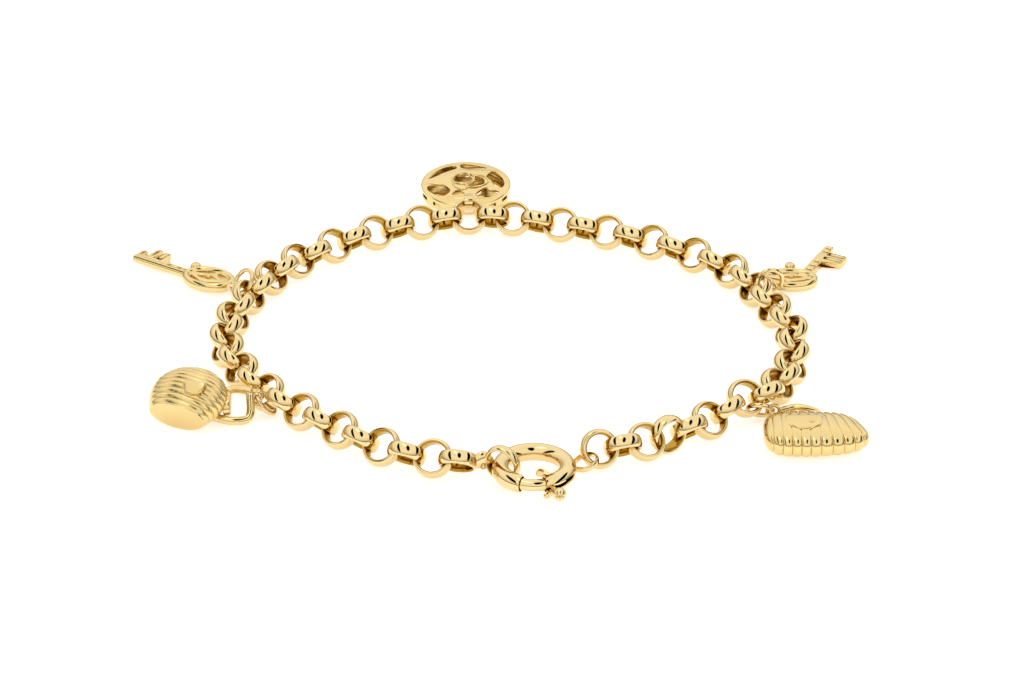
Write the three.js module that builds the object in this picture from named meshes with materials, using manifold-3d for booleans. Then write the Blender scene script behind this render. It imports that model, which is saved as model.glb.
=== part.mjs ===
import * as THREE from "three";
import { mergeVertices } from "three/addons/utils/BufferGeometryUtils.js";
import Module from "manifold-3d";

// Charm bracelet of round belcher links, lying open on a table. Millimetres, Z up, table at Z = 0.
const wasm = await Module();
wasm.setup();

// Driving sizes of the chain
const LINK_OUTER = 4.15;
const LINK_WIRE = 0.55;
const LINK_BAND = 1.45;
const LINK_SIDES = 10;
const LINK_HEIGHT = 1.98;
const LEAN = Math.PI / 4;
const UPRIGHT_LINK = 3;
const FIRST_LEAN = 2.62;
const LAST_LINK = 61;
const MEETING_LINK = 30;
const JOIN_RADIUS = 0.2;
const JOIN_DEPTH = 0.14;
const JOIN_OFFSET = 0.3;
const MEETING_SHIFT = 0.15;

// Chosen points of the chain's route: link number, x, y, lift above the lying height
const ROUTE = [
  [-1, 6.5, -27.7, -0.1],
  [0, 8.8, -27.05, 0.16],
  [2, 13.5, -25.3, 0],
  [3, 15.8, -23.9, 0.1],
  [5, 20.1, -20.9, 0],
  [7, 24.0, -17.1, 0.5],
  [8, 26.2, -16.2, 0.5],
  [10, 28.3, -12.0, 0.15],
  [12, 29.6, -7.0, 0],
  [14, 29.8, -1.7, 0],
  [16, 28.3, 3.4, 0],
  [20, 24.1, 12.8, 0],
  [24, 15.6, 19.8, 0],
  [28, 5.5, 24.2, 0],
  [32, -4.9, 26.2, 0],
  [36, -15.3, 22.2, 0],
  [40, -23.7, 15.1, 0],
  [43, -27.5, 8.9, 0],
  [45, -29.4, 3.9, 0],
  [48, -30.4, -3.3, 0],
  [51, -28.2, -10.3, 0],
  [53, -25.3, -14.9, 0],
  [55, -21.5, -19.1, 0],
  [59, -13.1, -26.4, 0],
  [61, -7.9, -28.7, 0],
  [62, -5.42, -29.25, 0.02],
  [63, -2.7, -29.6, 0.02],
];

// Clasp: a bolt ring held just above the table by the end ring and the eye
const CLASP_CENTRE = new THREE.Vector3(2.21, -29.9, 1.52);
const CLASP_RADIUS = 3.38;
const TUBE_RADIUS = 0.92;
const BORE_RADIUS = 0.76;
const BOLT_RADIUS = 0.62;
const CLASP_STEPS = 24;
const TUBE_SIDES = 10;
const GAP_START = -112;
const GAP_END = -72;
const SOCKET_ANGLE = 14;
const BORE_END = 12;
const BOLT_START = -119;
const BOLT_END = -36;
const SLOT_HEIGHT = 0.62;
const SLOT_END = -20;
const TRIGGER_ANGLE = -64;
const TRIGGER_REACH = 5.75;
const STEM_RADIUS = 0.22;
const KNOB_RADIUS = 0.68;
const LIP_OUTER = 1.36;
const LIP_LENGTH = 0.8;
const LIP_TURN = 0.75;
const LIP_WIDTH = 1.15;
const LIP_WALL = 0.22;
const LIP_SEAT = 0.4;
const LIP_TURN_BACK = 0.16;
const EYE_ANGLE = 19.2;
const EYE_REACH = 5.51;
const EYE_OUTER = 2.8;
const EYE_WIRE = 0.26;
const EYE_BAND = 0.55;
const EYE_SEAT = 0.3;
const EYE_HEIGHT = 1.2;
const EYE_AXIS = new THREE.Vector3(-0.3, -0.1, 0.95);

// End connector: a chain link with a neck and an upright ring round the clasp tube
const END_RING_CENTRE = new THREE.Vector3(-1.15, -30.05, 1.95);
const END_RING_TURN = -20;
const END_RING_OUTER = 3.94;
const END_RING_WIRE = 0.4;
const END_RING_BAND = 0.9;
const NECK_RADIUS = 0.42;
const NECK_FLARE = 0.12;
const BEAD_RADIUS = 0.3;
const BEAD_SHIFT = new THREE.Vector3(0, -0.3, 0.2);

// Small rings that hang the charms: the link they pass round, the shift from its middle, their axis
// and the way the charm hangs
const RING_RADIUS = 1.34;
const RING_WIRE = 0.22;
const EYELET_RADIUS = 0.64;
const EYELET_WIRE = 0.19;
const EYELET_PLAY = 0.06;
const RINGS = {
  left_key: {
    link: 44, shift: [-0.55, 1.69, 1.06], axis: [-0.678, -0.407, 0.612], toward: [-0.74, 0.35, -0.58],
  },
  right_key: {
    link: 18, shift: [1.511, 0.167, 1], axis: [-0.21, 0.977, 0.039], toward: [0.74, 0.19, -0.65],
  },
  ribbed_bag: {
    link: 53, shift: [-0.11, -1.17, -0.59], axis: [0.737, -0.029, 0.675], toward: [-0.67, -0.2, 0.72],
  },
  pleated_bag: {
    link: 7, shift: [1.52, -0.5, -1.12], axis: [0.114, 0.773, 0.624], toward: [0.99, -0.14, 0],
  },
};

const GOLD = "#e8c173";

function goldMaterial(colour, roughness) {
  return new THREE.MeshStandardMaterial({ color: colour, roughness, metalness: 1 });
}

// Closed solid from a geometry
function solid(geometry) {
  const plain = geometry.clone();
  plain.deleteAttribute("normal");
  plain.deleteAttribute("uv");
  const merged = mergeVertices(plain, 1e-4);
  return new wasm.Manifold(new wasm.Mesh({
    numProp: 3,
    vertProperties: new Float32Array(merged.attributes.position.array),
    triVerts: new Uint32Array(merged.index.array),
  }));
}

function geometryOf(body) {
  const mesh = body.getMesh();
  const geometry = new THREE.BufferGeometry();
  geometry.setAttribute("position", new THREE.BufferAttribute(new Float32Array(mesh.vertProperties), 3));
  geometry.setIndex(new THREE.BufferAttribute(new Uint32Array(mesh.triVerts), 1));
  geometry.computeVertexNormals();
  return geometry;
}

function joined(parts) {
  return parts.reduce((whole, part) => whole.add(part));
}

// Frame with its X and Z (or Y) directions given
function frameXZ(origin, xDirection, zDirection) {
  const x = xDirection.clone().normalize();
  const y = zDirection.clone().cross(x).normalize();
  const z = x.clone().cross(y);
  return new THREE.Matrix4().makeBasis(x, y, z).setPosition(origin);
}

function frameXY(origin, xDirection, yDirection) {
  const y = yDirection.clone().normalize();
  const z = xDirection.clone().cross(y).normalize();
  const x = y.clone().cross(z);
  return new THREE.Matrix4().makeBasis(x, y, z).setPosition(origin);
}

function degrees(value) {
  return value * Math.PI / 180;
}

// Point of the route at a link number, as a smooth curve through the chosen points
function routePoint(k) {
  let i = ROUTE.findIndex((row) => row[0] > k) - 1;
  if (i < 0) {
    i = k < 0 ? 0 : ROUTE.length - 2;
  }
  const row = (j) => ROUTE[Math.min(Math.max(j, 0), ROUTE.length - 1)];
  const slope = (j, c) => (row(j + 1)[c] - row(j - 1)[c]) / (row(j + 1)[0] - row(j - 1)[0]);
  const span = row(i + 1)[0] - row(i)[0];
  const t = (k - row(i)[0]) / span;
  const at = (c) => (2 * t ** 3 - 3 * t ** 2 + 1) * row(i)[c]
    + (t ** 3 - 2 * t ** 2 + t) * span * slope(i, c)
    + (3 * t ** 2 - 2 * t ** 3) * row(i + 1)[c]
    + (t ** 3 - t ** 2) * span * slope(i + 1, c);
  return new THREE.Vector3(at(1), at(2), LINK_HEIGHT + at(3));
}

// Links lean to one side and the other in turn; past the upright link the turns change hands
function linkLean(k) {
  if (k === UPRIGHT_LINK) {
    return Math.PI;
  }
  if (k === 0) {
    return FIRST_LEAN;
  }
  const even = (k % 2 === 0) === (k > UPRIGHT_LINK);
  return even ? LEAN : Math.PI - LEAN;
}

function linkFrame(k) {
  const along = routePoint(k + 0.5).sub(routePoint(k - 0.5)).normalize();
  const shift = k === MEETING_LINK ? MEETING_SHIFT : k === MEETING_LINK + 1 ? -MEETING_SHIFT : 0;
  const inward = new THREE.Vector3(0, 0, 1).cross(along).normalize();
  const up = along.clone().cross(inward);
  const axis = inward.multiplyScalar(Math.cos(linkLean(k))).add(up.multiplyScalar(Math.sin(linkLean(k))));
  return frameXY(routePoint(k).addScaledVector(along, shift), along, axis);
}

// Round link of D-shaped wire: flat inside, domed outside; its axis is Y
function bandRing(outer, wire, band, sides) {
  const ro = outer / 2;
  const ri = ro - wire;
  const profile = [
    [ri, -0.32 * band],
    [ro - 0.3 * wire, -0.5 * band],
    [ro, 0],
    [ro - 0.3 * wire, 0.5 * band],
    [ri, 0.32 * band],
    [ri, -0.32 * band],
  ].map(([r, y]) => new THREE.Vector2(r, y));
  return new THREE.LatheGeometry(profile, sides, Math.PI / 2);
}

function chainLink(k) {
  const geometry = bandRing(LINK_OUTER, LINK_WIRE, LINK_BAND, LINK_SIDES);
  return solid(geometry.applyMatrix4(linkFrame(k)));
}

// Contact between two links that hang in each other, beside the middle of the crossing wires
function linkContact(k) {
  const a = routePoint(k);
  const b = routePoint(k + 1);
  const inner = LINK_OUTER / 2 - LINK_WIRE;
  const length = 2 * inner - a.distanceTo(b) + 2 * JOIN_DEPTH;
  const block = new THREE.CylinderGeometry(JOIN_RADIUS, JOIN_RADIUS, length, 3);
  const middle = a.clone().add(b).multiplyScalar(0.5);
  for (const link of [k, k + 1]) {
    middle.addScaledVector(new THREE.Vector3().setFromMatrixColumn(linkFrame(link), 1), JOIN_OFFSET);
  }
  return solid(block.applyMatrix4(frameXY(middle, new THREE.Vector3(0, 0, 1), b.clone().sub(a))));
}

function chainRun(first, last) {
  const parts = [];
  for (let k = first; k <= last; k += 1) {
    parts.push(chainLink(k));
    if (k < last) {
      parts.push(linkContact(k));
    }
  }
  return joined(parts);
}

// Round wire ring, axis Y before placing
function wireRing(radius, wire, sides, wireSides) {
  return new THREE.TorusGeometry(radius, wire, wireSides, sides).rotateX(Math.PI / 2);
}

// Directions of a small ring: its centre, axis and the way its charm hangs
function ringFrame(ring) {
  const centre = routePoint(ring.link).add(new THREE.Vector3(...ring.shift));
  const axis = new THREE.Vector3(...ring.axis).normalize();
  const toward = new THREE.Vector3(...ring.toward).projectOnPlane(axis).normalize();
  return { centre, axis, toward };
}

// Point on or over the table, given from the spot under a small ring
function besideRing(ring, [x, y, z]) {
  const { centre } = ringFrame(ring);
  return new THREE.Vector3(centre.x + x, centre.y + y, z);
}

function jumpRing(ring) {
  const { centre, axis, toward } = ringFrame(ring);
  return solid(wireRing(RING_RADIUS, RING_WIRE, 14, 5).applyMatrix4(frameXY(centre, toward, axis)));
}

// Eyelet of a charm, hanging in its small ring
function eyelet(ring) {
  const { centre, axis, toward } = ringFrame(ring);
  const middle = centre.clone().addScaledVector(toward, RING_RADIUS + EYELET_PLAY);
  const across = axis.clone().cross(toward);
  const ringShape = wireRing(EYELET_RADIUS, EYELET_WIRE, 10, 5);
  const body = solid(ringShape.applyMatrix4(frameXY(middle, toward, across)));
  return { body, end: middle.addScaledVector(toward, EYELET_RADIUS) };
}

// Straight bar between two points, thinner at its far end
function bar(from, to, startRadius, endRadius, sides) {
  const length = from.distanceTo(to);
  const geometry = new THREE.CylinderGeometry(endRadius, startRadius, length, sides);
  const up = Math.abs(to.z - from.z) > 0.9 * length ? new THREE.Vector3(1, 0, 0) : new THREE.Vector3(0, 0, 1);
  const middle = from.clone().add(to).multiplyScalar(0.5);
  const along = to.clone().sub(from);
  return solid(geometry.applyMatrix4(frameXY(middle, along.clone().cross(up), along)));
}

function sector(inner, outer, from, to, height) {
  const shape = new THREE.Shape();
  shape.absarc(0, 0, outer, degrees(from), degrees(to), false);
  shape.absarc(0, 0, inner, degrees(to), degrees(from), true);
  const geometry = new THREE.ExtrudeGeometry(shape, { depth: height, bevelEnabled: false, curveSegments: 8 });
  return solid(geometry.translate(0, 0, -height / 2));
}

function claspTorus(radius, sides) {
  return solid(new THREE.TorusGeometry(CLASP_RADIUS, radius, sides, CLASP_STEPS));
}

function claspSector(from, to) {
  return sector(0.6, 6, from, to, 4);
}

// Flared lips at the mouth of the tube, above and below the slot
function claspLips() {
  const profile = [
    [BORE_RADIUS, LIP_SEAT],
    [BORE_RADIUS, 0],
    [LIP_OUTER - LIP_WALL, -LIP_LENGTH],
    [LIP_OUTER, 0.15 - LIP_LENGTH],
    [TUBE_RADIUS, LIP_SEAT],
    [BORE_RADIUS, LIP_SEAT],
  ].map(([r, y]) => new THREE.Vector2(r, y));
  const flare = solid(new THREE.LatheGeometry(profile, TUBE_SIDES));
  const keep = solid(new THREE.BoxGeometry(3.4, 3, LIP_WIDTH).rotateY(LIP_TURN));
  const angle = degrees(GAP_END) + LIP_TURN_BACK;
  const place = frameXY(
    new THREE.Vector3(CLASP_RADIUS * Math.cos(angle), CLASP_RADIUS * Math.sin(angle), 0),
    new THREE.Vector3(Math.cos(angle), Math.sin(angle), 0),
    new THREE.Vector3(-Math.sin(angle), Math.cos(angle), 0),
  );
  return flare.intersect(keep).transform(place.elements);
}

function claspEye() {
  const out = new THREE.Vector3(Math.cos(degrees(EYE_ANGLE)), Math.sin(degrees(EYE_ANGLE)), 0);
  const centre = out.clone().multiplyScalar(EYE_REACH).setZ(EYE_HEIGHT - CLASP_CENTRE.z);
  const ring = bandRing(EYE_OUTER, EYE_WIRE, EYE_BAND, 14);
  const place = frameXY(centre, out, EYE_AXIS);
  const rim = new THREE.Vector3(-(EYE_OUTER - EYE_WIRE) / 2, 0, 0).applyMatrix4(place);
  const wall = out.clone().multiplyScalar(CLASP_RADIUS + TUBE_RADIUS - EYE_SEAT).setZ(rim.z / 2);
  return solid(ring.applyMatrix4(place)).add(bar(wall, rim, EYE_SEAT, EYE_SEAT, 6));
}

// Bolt ring: hollow tube bent round, open at the gap, slotted for the trigger, with its eye
function claspBody() {
  const tube = claspTorus(TUBE_RADIUS, TUBE_SIDES).subtract(claspSector(GAP_START, GAP_END));
  const bore = claspTorus(BORE_RADIUS, TUBE_SIDES);
  const socket = bore.intersect(claspSector(GAP_START - SOCKET_ANGLE, GAP_START + 1));
  const bolthole = bore.intersect(claspSector(GAP_END - 1, BORE_END));
  const slot = sector(CLASP_RADIUS, 5, GAP_END - 12, SLOT_END, SLOT_HEIGHT);
  return tube.add(claspLips()).add(claspEye()).subtract(socket).subtract(bolthole).subtract(slot);
}

// Sliding bolt with its trigger
function claspBolt() {
  const bolt = claspTorus(BOLT_RADIUS, TUBE_SIDES).intersect(claspSector(BOLT_START, BOLT_END));
  const angle = degrees(TRIGGER_ANGLE);
  const out = new THREE.Vector3(Math.cos(angle), Math.sin(angle), 0);
  const root = out.clone().multiplyScalar(CLASP_RADIUS);
  const end = out.clone().multiplyScalar(TRIGGER_REACH);
  const knob = solid(new THREE.SphereGeometry(KNOB_RADIUS, 12, 8));
  return bolt.add(bar(root, end, STEM_RADIUS, STEM_RADIUS, 8)).add(knob.translate(end.toArray()));
}

// End connector of the chain
function endConnector() {
  const link = chainLink(LAST_LINK + 1);
  const across = new THREE.Vector3(Math.cos(degrees(END_RING_TURN)), Math.sin(degrees(END_RING_TURN)), 0);
  const axis = new THREE.Vector3(across.y, -across.x, 0);
  const ring = bandRing(END_RING_OUTER, END_RING_WIRE, END_RING_BAND, 14);
  const place = frameXY(END_RING_CENTRE, across, axis);
  const ringSolid = solid(ring.applyMatrix4(place));
  const wireMiddle = LINK_OUTER / 2 - 0.5 * LINK_WIRE;
  const linkEnd = new THREE.Vector3(wireMiddle, 0, 0).applyMatrix4(linkFrame(LAST_LINK + 1));
  const half = END_RING_OUTER / 2 - 0.5 * END_RING_WIRE;
  const ringEnd = new THREE.Vector3(-half, 0, 0).applyMatrix4(place);
  const neck = bar(linkEnd, ringEnd, NECK_RADIUS + NECK_FLARE, NECK_RADIUS, 8);
  const bead = solid(new THREE.SphereGeometry(BEAD_RADIUS, 8, 6));
  const seat = linkEnd.clone().add(ringEnd).multiplyScalar(0.5).add(BEAD_SHIFT);
  return link.add(ringSolid).add(neck).add(bead.translate(seat.toArray()));
}

function polygon(points) {
  return new THREE.Shape(points.map(([x, y]) => new THREE.Vector2(x, y)));
}

function plate(shape, thickness, segments) {
  const options = { depth: thickness, bevelEnabled: false, curveSegments: segments };
  const geometry = new THREE.ExtrudeGeometry(shape, options);
  return solid(geometry.translate(0, 0, -thickness / 2));
}

function ovalShape(halfLength, halfWidth) {
  const shape = new THREE.Shape();
  shape.absellipse(0, 0, halfLength, halfWidth, 0, 2 * Math.PI, false, 0);
  return shape;
}

// Leaf-shaped opening between two points
function leaf(from, to, swell) {
  const shape = new THREE.Shape();
  const dx = to[0] - from[0];
  const dy = to[1] - from[1];
  shape.moveTo(...from);
  shape.quadraticCurveTo(from[0] + 0.5 * dx - swell * dy, from[1] + 0.5 * dy + swell * dx, ...to);
  shape.quadraticCurveTo(from[0] + 0.5 * dx + swell * dy, from[1] + 0.5 * dy - swell * dx, ...from);
  return shape;
}

const OPEN_LEAVES = [
  [[-2.3, -0.1], [-0.5, -1.0], 0.3],
  [[-0.1, -1.1], [2.3, -0.5], 0.2],
  [[-1.9, 0.6], [0.1, 1.2], 0.25],
  [[0.5, 1.1], [2.3, 0.4], 0.25],
  [[-0.9, 0.05], [1.3, 0.2], 0.2],
];

// Key charm, lying flat before placing: pierced oval bow at the origin, shank along a chosen angle
function keyBody(key) {
  const bow = plate(ovalShape(key.bowLength / 2, key.bowWidth / 2), key.thickness, 12);
  const stretch = [key.bowLength / 6.4, key.bowWidth / 4.5, 1];
  const openings = OPEN_LEAVES.map(([from, to, swell]) => plate(leaf(from, to, swell), 4, 3).scale(stretch));
  const boss = solid(new THREE.CylinderGeometry(0.66, 0.66, key.thickness + 0.3, 10).rotateX(Math.PI / 2));
  const parts = [bow.subtract(joined(openings)), boss.translate([key.boss[0], key.boss[1], 0])];
  parts.push(keyShank(key).rotate([0, 0, key.shankAngle]).translate([key.root[0], key.root[1], 0]));
  return joined(parts);
}

// Shank along X from the bow, with its teeth to one side near the tip
function keyShank(key) {
  const parts = [plate(polygon([
    [-0.8, -0.5 * key.shankWidth],
    [key.shankLength - 0.3, -0.5 * key.shankWidth],
    [key.shankLength, -0.2 * key.shankWidth],
    [key.shankLength, 0.2 * key.shankWidth],
    [key.shankLength - 0.3, 0.5 * key.shankWidth],
    [-0.8, 0.5 * key.shankWidth],
  ]), key.thickness - 0.1, 1)];
  for (const [place, width, reach] of key.teeth) {
    const side = key.toothSide;
    const x = key.shankLength - place;
    const tooth = polygon([
      [x - width / 2, 0],
      [x + width / 2, 0],
      [x + width / 2, side * (reach - 0.3)],
      [x + width / 4, side * reach],
      [x - width / 4, side * reach],
      [x - width / 2, side * (reach - 0.3)],
    ]);
    parts.push(plate(tooth, key.thickness - 0.2, 1));
  }
  for (let i = 0; i < key.ribs; i += 1) {
    const rib = solid(new THREE.BoxGeometry(0.3, key.shankWidth + 0.12, key.thickness + 0.08));
    parts.push(rib.translate([0.6 + i * key.ribPitch, 0, 0]));
  }
  return joined(parts);
}

const KEY_LEFT = {
  bowLength: 6.4, bowWidth: 4.5, thickness: 1.15, boss: [1.1, -2.1],
  root: [2.7, 0], shankAngle: -6, shankLength: 7.6, shankWidth: 1.1, toothSide: -1,
  teeth: [[0.45, 0.9, 1.3], [1.75, 0.95, 2.1], [3.0, 0.95, 2.0]], ribs: 3, ribPitch: 0.75,
  centre: [-4.11, 4.56, 0.98], along: [-0.876, 0.482, -0.01],
};
const KEY_RIGHT = {
  bowLength: 6.2, bowWidth: 4.3, thickness: 1.15, boss: [0.3, 2.1],
  root: [1.6, 0.9], shankAngle: 62, shankLength: 7.7, shankWidth: 1.25, toothSide: -1,
  teeth: [[2.0, 1.0, 2.7], [3.05, 0.9, 2.7]], ribs: 5, ribPitch: 1.2,
  centre: [2.52, 4.3, 0.9], along: [0.998, 0.03, -0.03],
};

function keyCharm(key, ring) {
  const along = new THREE.Vector3(...key.along);
  const place = frameXZ(besideRing(ring, key.centre), along, new THREE.Vector3(0, 0, 1));
  const start = new THREE.Vector3(-0.5 * key.bowLength + 0.35, 0, 0).applyMatrix4(place);
  const hang = eyelet(ring);
  const body = keyBody(key).transform(place.elements);
  return body.add(hang.body).add(bar(start, hang.end, 0.42, 0.24, 8));
}

// Ribbed bag: a rounded body with level ribs behind an oval base plate, lying on its back
const RIBBED = {
  centre: [-8.94, -3.53, 1.75], up: [0.36, 0.84, 0.3], across: [0.95, -0.32, 0.05],
  halfWidth: 3.15, height: 6.5, depthShare: 0.57, ribs: 9, ribDepth: 0.14,
};
const RIBBED_SECTIONS = [
  [0, 1.0],
  [0.12, 1.13],
  [0.25, 1.24],
  [0.4, 1.31],
  [0.55, 1.29],
  [0.7, 1.18],
  [0.83, 0.96],
  [0.93, 0.64],
  [1, 0.3],
];
const COLLAR = { halfLength: 1.35, halfWidth: 0.95, thickness: 0.7, centre: [-4.34, -1.13, 1.95] };
const CLOSURE = { thickness: 0.9, centre: [-7.19, -0.93, 3.45] };
const CLOSURE_OUTLINE = [
  [-1.2, 0.3], [-0.7, 0.75], [0.9, 0.75], [1.2, 0.3], [0.8, -0.6], [0, -0.85], [-0.8, -0.6],
];
const STRAP_RADIUS = 0.3;
const STRAP_SIDES = 5;
const UPPER_STRAP = [[-4.59, -0.23, 2.5], [-3.59, 0.17, 2.8], [-2.49, -0.03, 2.95]];
const LOWER_STRAP = [[-4.99, -2.73, 0.9], [-3.79, -3.63, 0.85], [-2.39, -3.13, 1.3]];

function shareAt(table, x) {
  let i = table.findIndex((row) => row[0] >= x);
  if (i <= 0) {
    i = 1;
  }
  const [x0, y0] = table[i - 1];
  const [x1, y1] = table[i];
  return y0 + (y1 - y0) * (x - x0) / (x1 - x0);
}

function ribbedProfile() {
  const points = [[0, 0], [RIBBED.halfWidth, 0]];
  for (let i = 1; i < 2 * RIBBED.ribs; i += 1) {
    const t = i / (2 * RIBBED.ribs);
    const swell = i % 2 === 0 ? -RIBBED.ribDepth : RIBBED.ribDepth / 2;
    points.push([RIBBED.halfWidth * shareAt(RIBBED_SECTIONS, t) + swell, t * RIBBED.height]);
  }
  points.push([0, RIBBED.height]);
  return points.map(([r, y]) => new THREE.Vector2(r, y));
}

// Bent round bar through points, ending in the charm's eyelet
function strap(ring, points, end, radius, steps) {
  const route = points.map((point) => besideRing(ring, point));
  const curve = new THREE.CatmullRomCurve3([...route, end]);
  const shape = new THREE.Shape();
  for (let i = 0; i < STRAP_SIDES; i += 1) {
    const angle = 2 * Math.PI * i / STRAP_SIDES;
    const method = i === 0 ? "moveTo" : "lineTo";
    shape[method](radius * Math.cos(angle), radius * Math.sin(angle));
  }
  return solid(new THREE.ExtrudeGeometry(shape, { steps, extrudePath: curve, bevelEnabled: false }));
}

function ribbedBag(ring) {
  const body = solid(new THREE.LatheGeometry(ribbedProfile(), 16).scale(1, 1, RIBBED.depthShare));
  const across = new THREE.Vector3(...RIBBED.across);
  const place = frameXY(besideRing(ring, RIBBED.centre), across, new THREE.Vector3(...RIBBED.up));
  const collar = plate(ovalShape(COLLAR.halfLength, COLLAR.halfWidth), COLLAR.thickness, 8);
  const collarUp = new THREE.Vector3(0, 1, 0.25);
  const collarPlace = frameXZ(besideRing(ring, COLLAR.centre), collarUp, new THREE.Vector3(1, 0, 0.05));
  const closure = plate(polygon(CLOSURE_OUTLINE), CLOSURE.thickness, 1);
  const closureUp = new THREE.Vector3(0.05, -0.35, 0.93);
  const closureAlong = new THREE.Vector3(1, -0.08, 0.02);
  const closurePlace = frameXZ(besideRing(ring, CLOSURE.centre), closureAlong, closureUp);
  const hang = eyelet(ring);
  const upperEnd = hang.end.clone().add(new THREE.Vector3(-0.1, 0, 0.05));
  const lowerEnd = hang.end.clone().add(new THREE.Vector3(-0.2, -0.25, -0.15));
  return joined([
    body.transform(place.elements),
    collar.transform(collarPlace.elements),
    closure.transform(closurePlace.elements),
    strap(ring, UPPER_STRAP, upperEnd, STRAP_RADIUS, 7),
    strap(ring, LOWER_STRAP, lowerEnd, STRAP_RADIUS, 7),
    hang.body,
  ]);
}

// Pleated bag: soft clutch with upright pleats, a rounded flap and one arched handle
const PLEATED = {
  centre: [5.18, -5.3, 1.56], halfLength: 5.25, halfDepth: 3.5, halfHeight: 1.5, pleats: 11, pleatDepth: 0.16,
};
const FLAP = { thickness: 0.5, centre: [4.68, -3.7, 2.75], halfWidth: 1.9, back: 1.2, front: 1.15 };
const HANDLE_RADIUS = 0.34;
const HANDLE = [[6.48, -2.8, 1.6], [5.68, -1.1, 1.75], [4.08, -0.1, 1.7], [2.98, -0.1, 1.55]];
const STAY = [[1.98, -3.3, 1.6], [1.98, -2.3, 1.7], [2.08, -1.3, 1.5]];

function pleatedProfile() {
  const points = [[0, -1]];
  const count = 2 * PLEATED.pleats;
  for (let i = 0; i <= count; i += 1) {
    const t = -0.985 + 1.97 * i / count;
    const round = (1 - Math.abs(t) ** 5) ** 0.45;
    const taper = 1 - 0.16 * Math.max(0, t);
    const swell = i % 2 === 0 ? -PLEATED.pleatDepth : PLEATED.pleatDepth / 2;
    points.push([Math.max(0.25, round * taper + swell * 0.42), t]);
  }
  points.push([0, 1]);
  return points.map(([r, y]) => new THREE.Vector2(r, y));
}

function pleatedBody(ring) {
  const geometry = new THREE.LatheGeometry(pleatedProfile(), 12).rotateZ(-Math.PI / 2);
  geometry.scale(PLEATED.halfLength, PLEATED.halfDepth, PLEATED.halfHeight);
  const position = geometry.attributes.position;
  for (let i = 0; i < position.count; i += 1) {
    const x = position.getX(i);
    const y = position.getY(i);
    const far = Math.max(0, x / PLEATED.halfLength);
    position.setX(i, x - 0.42 * far * y);
    position.setY(i, y + 0.7 * far * far);
  }
  return solid(geometry).translate(besideRing(ring, PLEATED.centre).toArray());
}

function pleatedBag(ring) {
  const flap = new THREE.Shape();
  flap.moveTo(-FLAP.halfWidth, FLAP.back);
  flap.quadraticCurveTo(-FLAP.halfWidth, -0.65 * FLAP.front, 0, -FLAP.front);
  flap.quadraticCurveTo(0.95 * FLAP.halfWidth, -0.8 * FLAP.front, 0.9 * FLAP.halfWidth, FLAP.back);
  const flapUp = new THREE.Vector3(0, 0.08, 1);
  const flapPlace = frameXZ(besideRing(ring, FLAP.centre), new THREE.Vector3(1, 0.05, 0), flapUp);
  const hang = eyelet(ring);
  const handleEnd = hang.end.clone().add(new THREE.Vector3(0.1, 0, 0));
  const stayEnd = hang.end.clone().add(new THREE.Vector3(0.05, -0.05, 0));
  return joined([
    pleatedBody(ring),
    plate(flap, FLAP.thickness, 5).transform(flapPlace.elements),
    strap(ring, HANDLE, handleEnd, HANDLE_RADIUS, 9),
    strap(ring, STAY, stayEnd, STRAP_RADIUS, 5),
    hang.body,
  ]);
}

// Pierced medallion: two pierced faces with a wall between, and a wide loop for the chain
const HOOK_LINK = 32;
const DISC = { radius: 5.05, thickness: 1.6, wall: 0.45, shift: [-0.4, 9.5], height: 1.25, tilt: 4 };
const WINDOW_ANGLES = [205, 230, 306, 330];
const WINDOW_WIDTH = 1.1;
const WINDOW_HEIGHT = 0.5;
const DISC_OPENINGS = [
  [[-4.3, 0.9], [-3.4, 2.6], [-2.2, 3.7], [-1.3, 3.8], [-1.2, 3.1], [-2.2, 2.4], [-3.3, 1.5]],
  [[-0.5, 3.3], [-0.6, 4.2], [0.2, 4.3], [2.4, 3.4], [1.4, 3.2], [0.3, 3.0]],
  [[2.4, 1.3], [3.1, 2.6], [4.0, 1.5], [4.4, 0.0], [4.1, -1.1], [3.4, -0.9], [2.9, 0.4]],
  [[-4.4, -1.0], [-3.6, -0.5], [-2.4, -0.9], [-1.8, -2.0], [-2.4, -3.0], [-3.2, -2.9], [-4.1, -2.0]],
  [[-1.4, 0.4], [-0.9, 1.4], [0.4, 1.6], [0.7, 0.6], [-0.2, -0.6], [-1.1, -0.5]],
  [[0.9, 1.3], [2.0, 0.7], [2.0, -0.8], [1.1, -1.6], [0.2, -1.3], [1.1, 0.2]],
  [[-1.5, -2.9], [-0.9, -1.9], [-0.2, -2.7]],
  [[2.3, -1.3], [2.7, -1.9], [3.8, -2.0], [3.1, -3.1], [1.6, -3.4], [1.2, -2.7]],
];

// The openings are drawn on a medallion 10.1 across and grow with it
const OPENINGS_SCALE = DISC.radius / 5.05;

function disc() {
  const outer = plate(ovalShape(DISC.radius, DISC.radius), DISC.thickness, 18);
  const inner = DISC.radius - DISC.wall;
  const room = plate(ovalShape(inner, inner), DISC.thickness - 2 * DISC.wall, 16);
  const stretch = [OPENINGS_SCALE, OPENINGS_SCALE, 1];
  const openings = DISC_OPENINGS.map((points) => plate(polygon(points), 4, 1).scale(stretch));
  const windows = WINDOW_ANGLES.map((angle) => {
    const window = solid(new THREE.BoxGeometry(2, WINDOW_WIDTH, WINDOW_HEIGHT));
    return window.translate([DISC.radius, 0, 0]).rotate([0, 0, angle]);
  });
  const body = outer.subtract(room).subtract(joined(openings)).subtract(joined(windows));
  const hook = routePoint(HOOK_LINK);
  const place = new THREE.Matrix4().makeRotationX(degrees(DISC.tilt));
  place.setPosition(hook.x + DISC.shift[0], hook.y + DISC.shift[1], DISC.height);
  return body.transform(place.elements);
}

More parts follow.
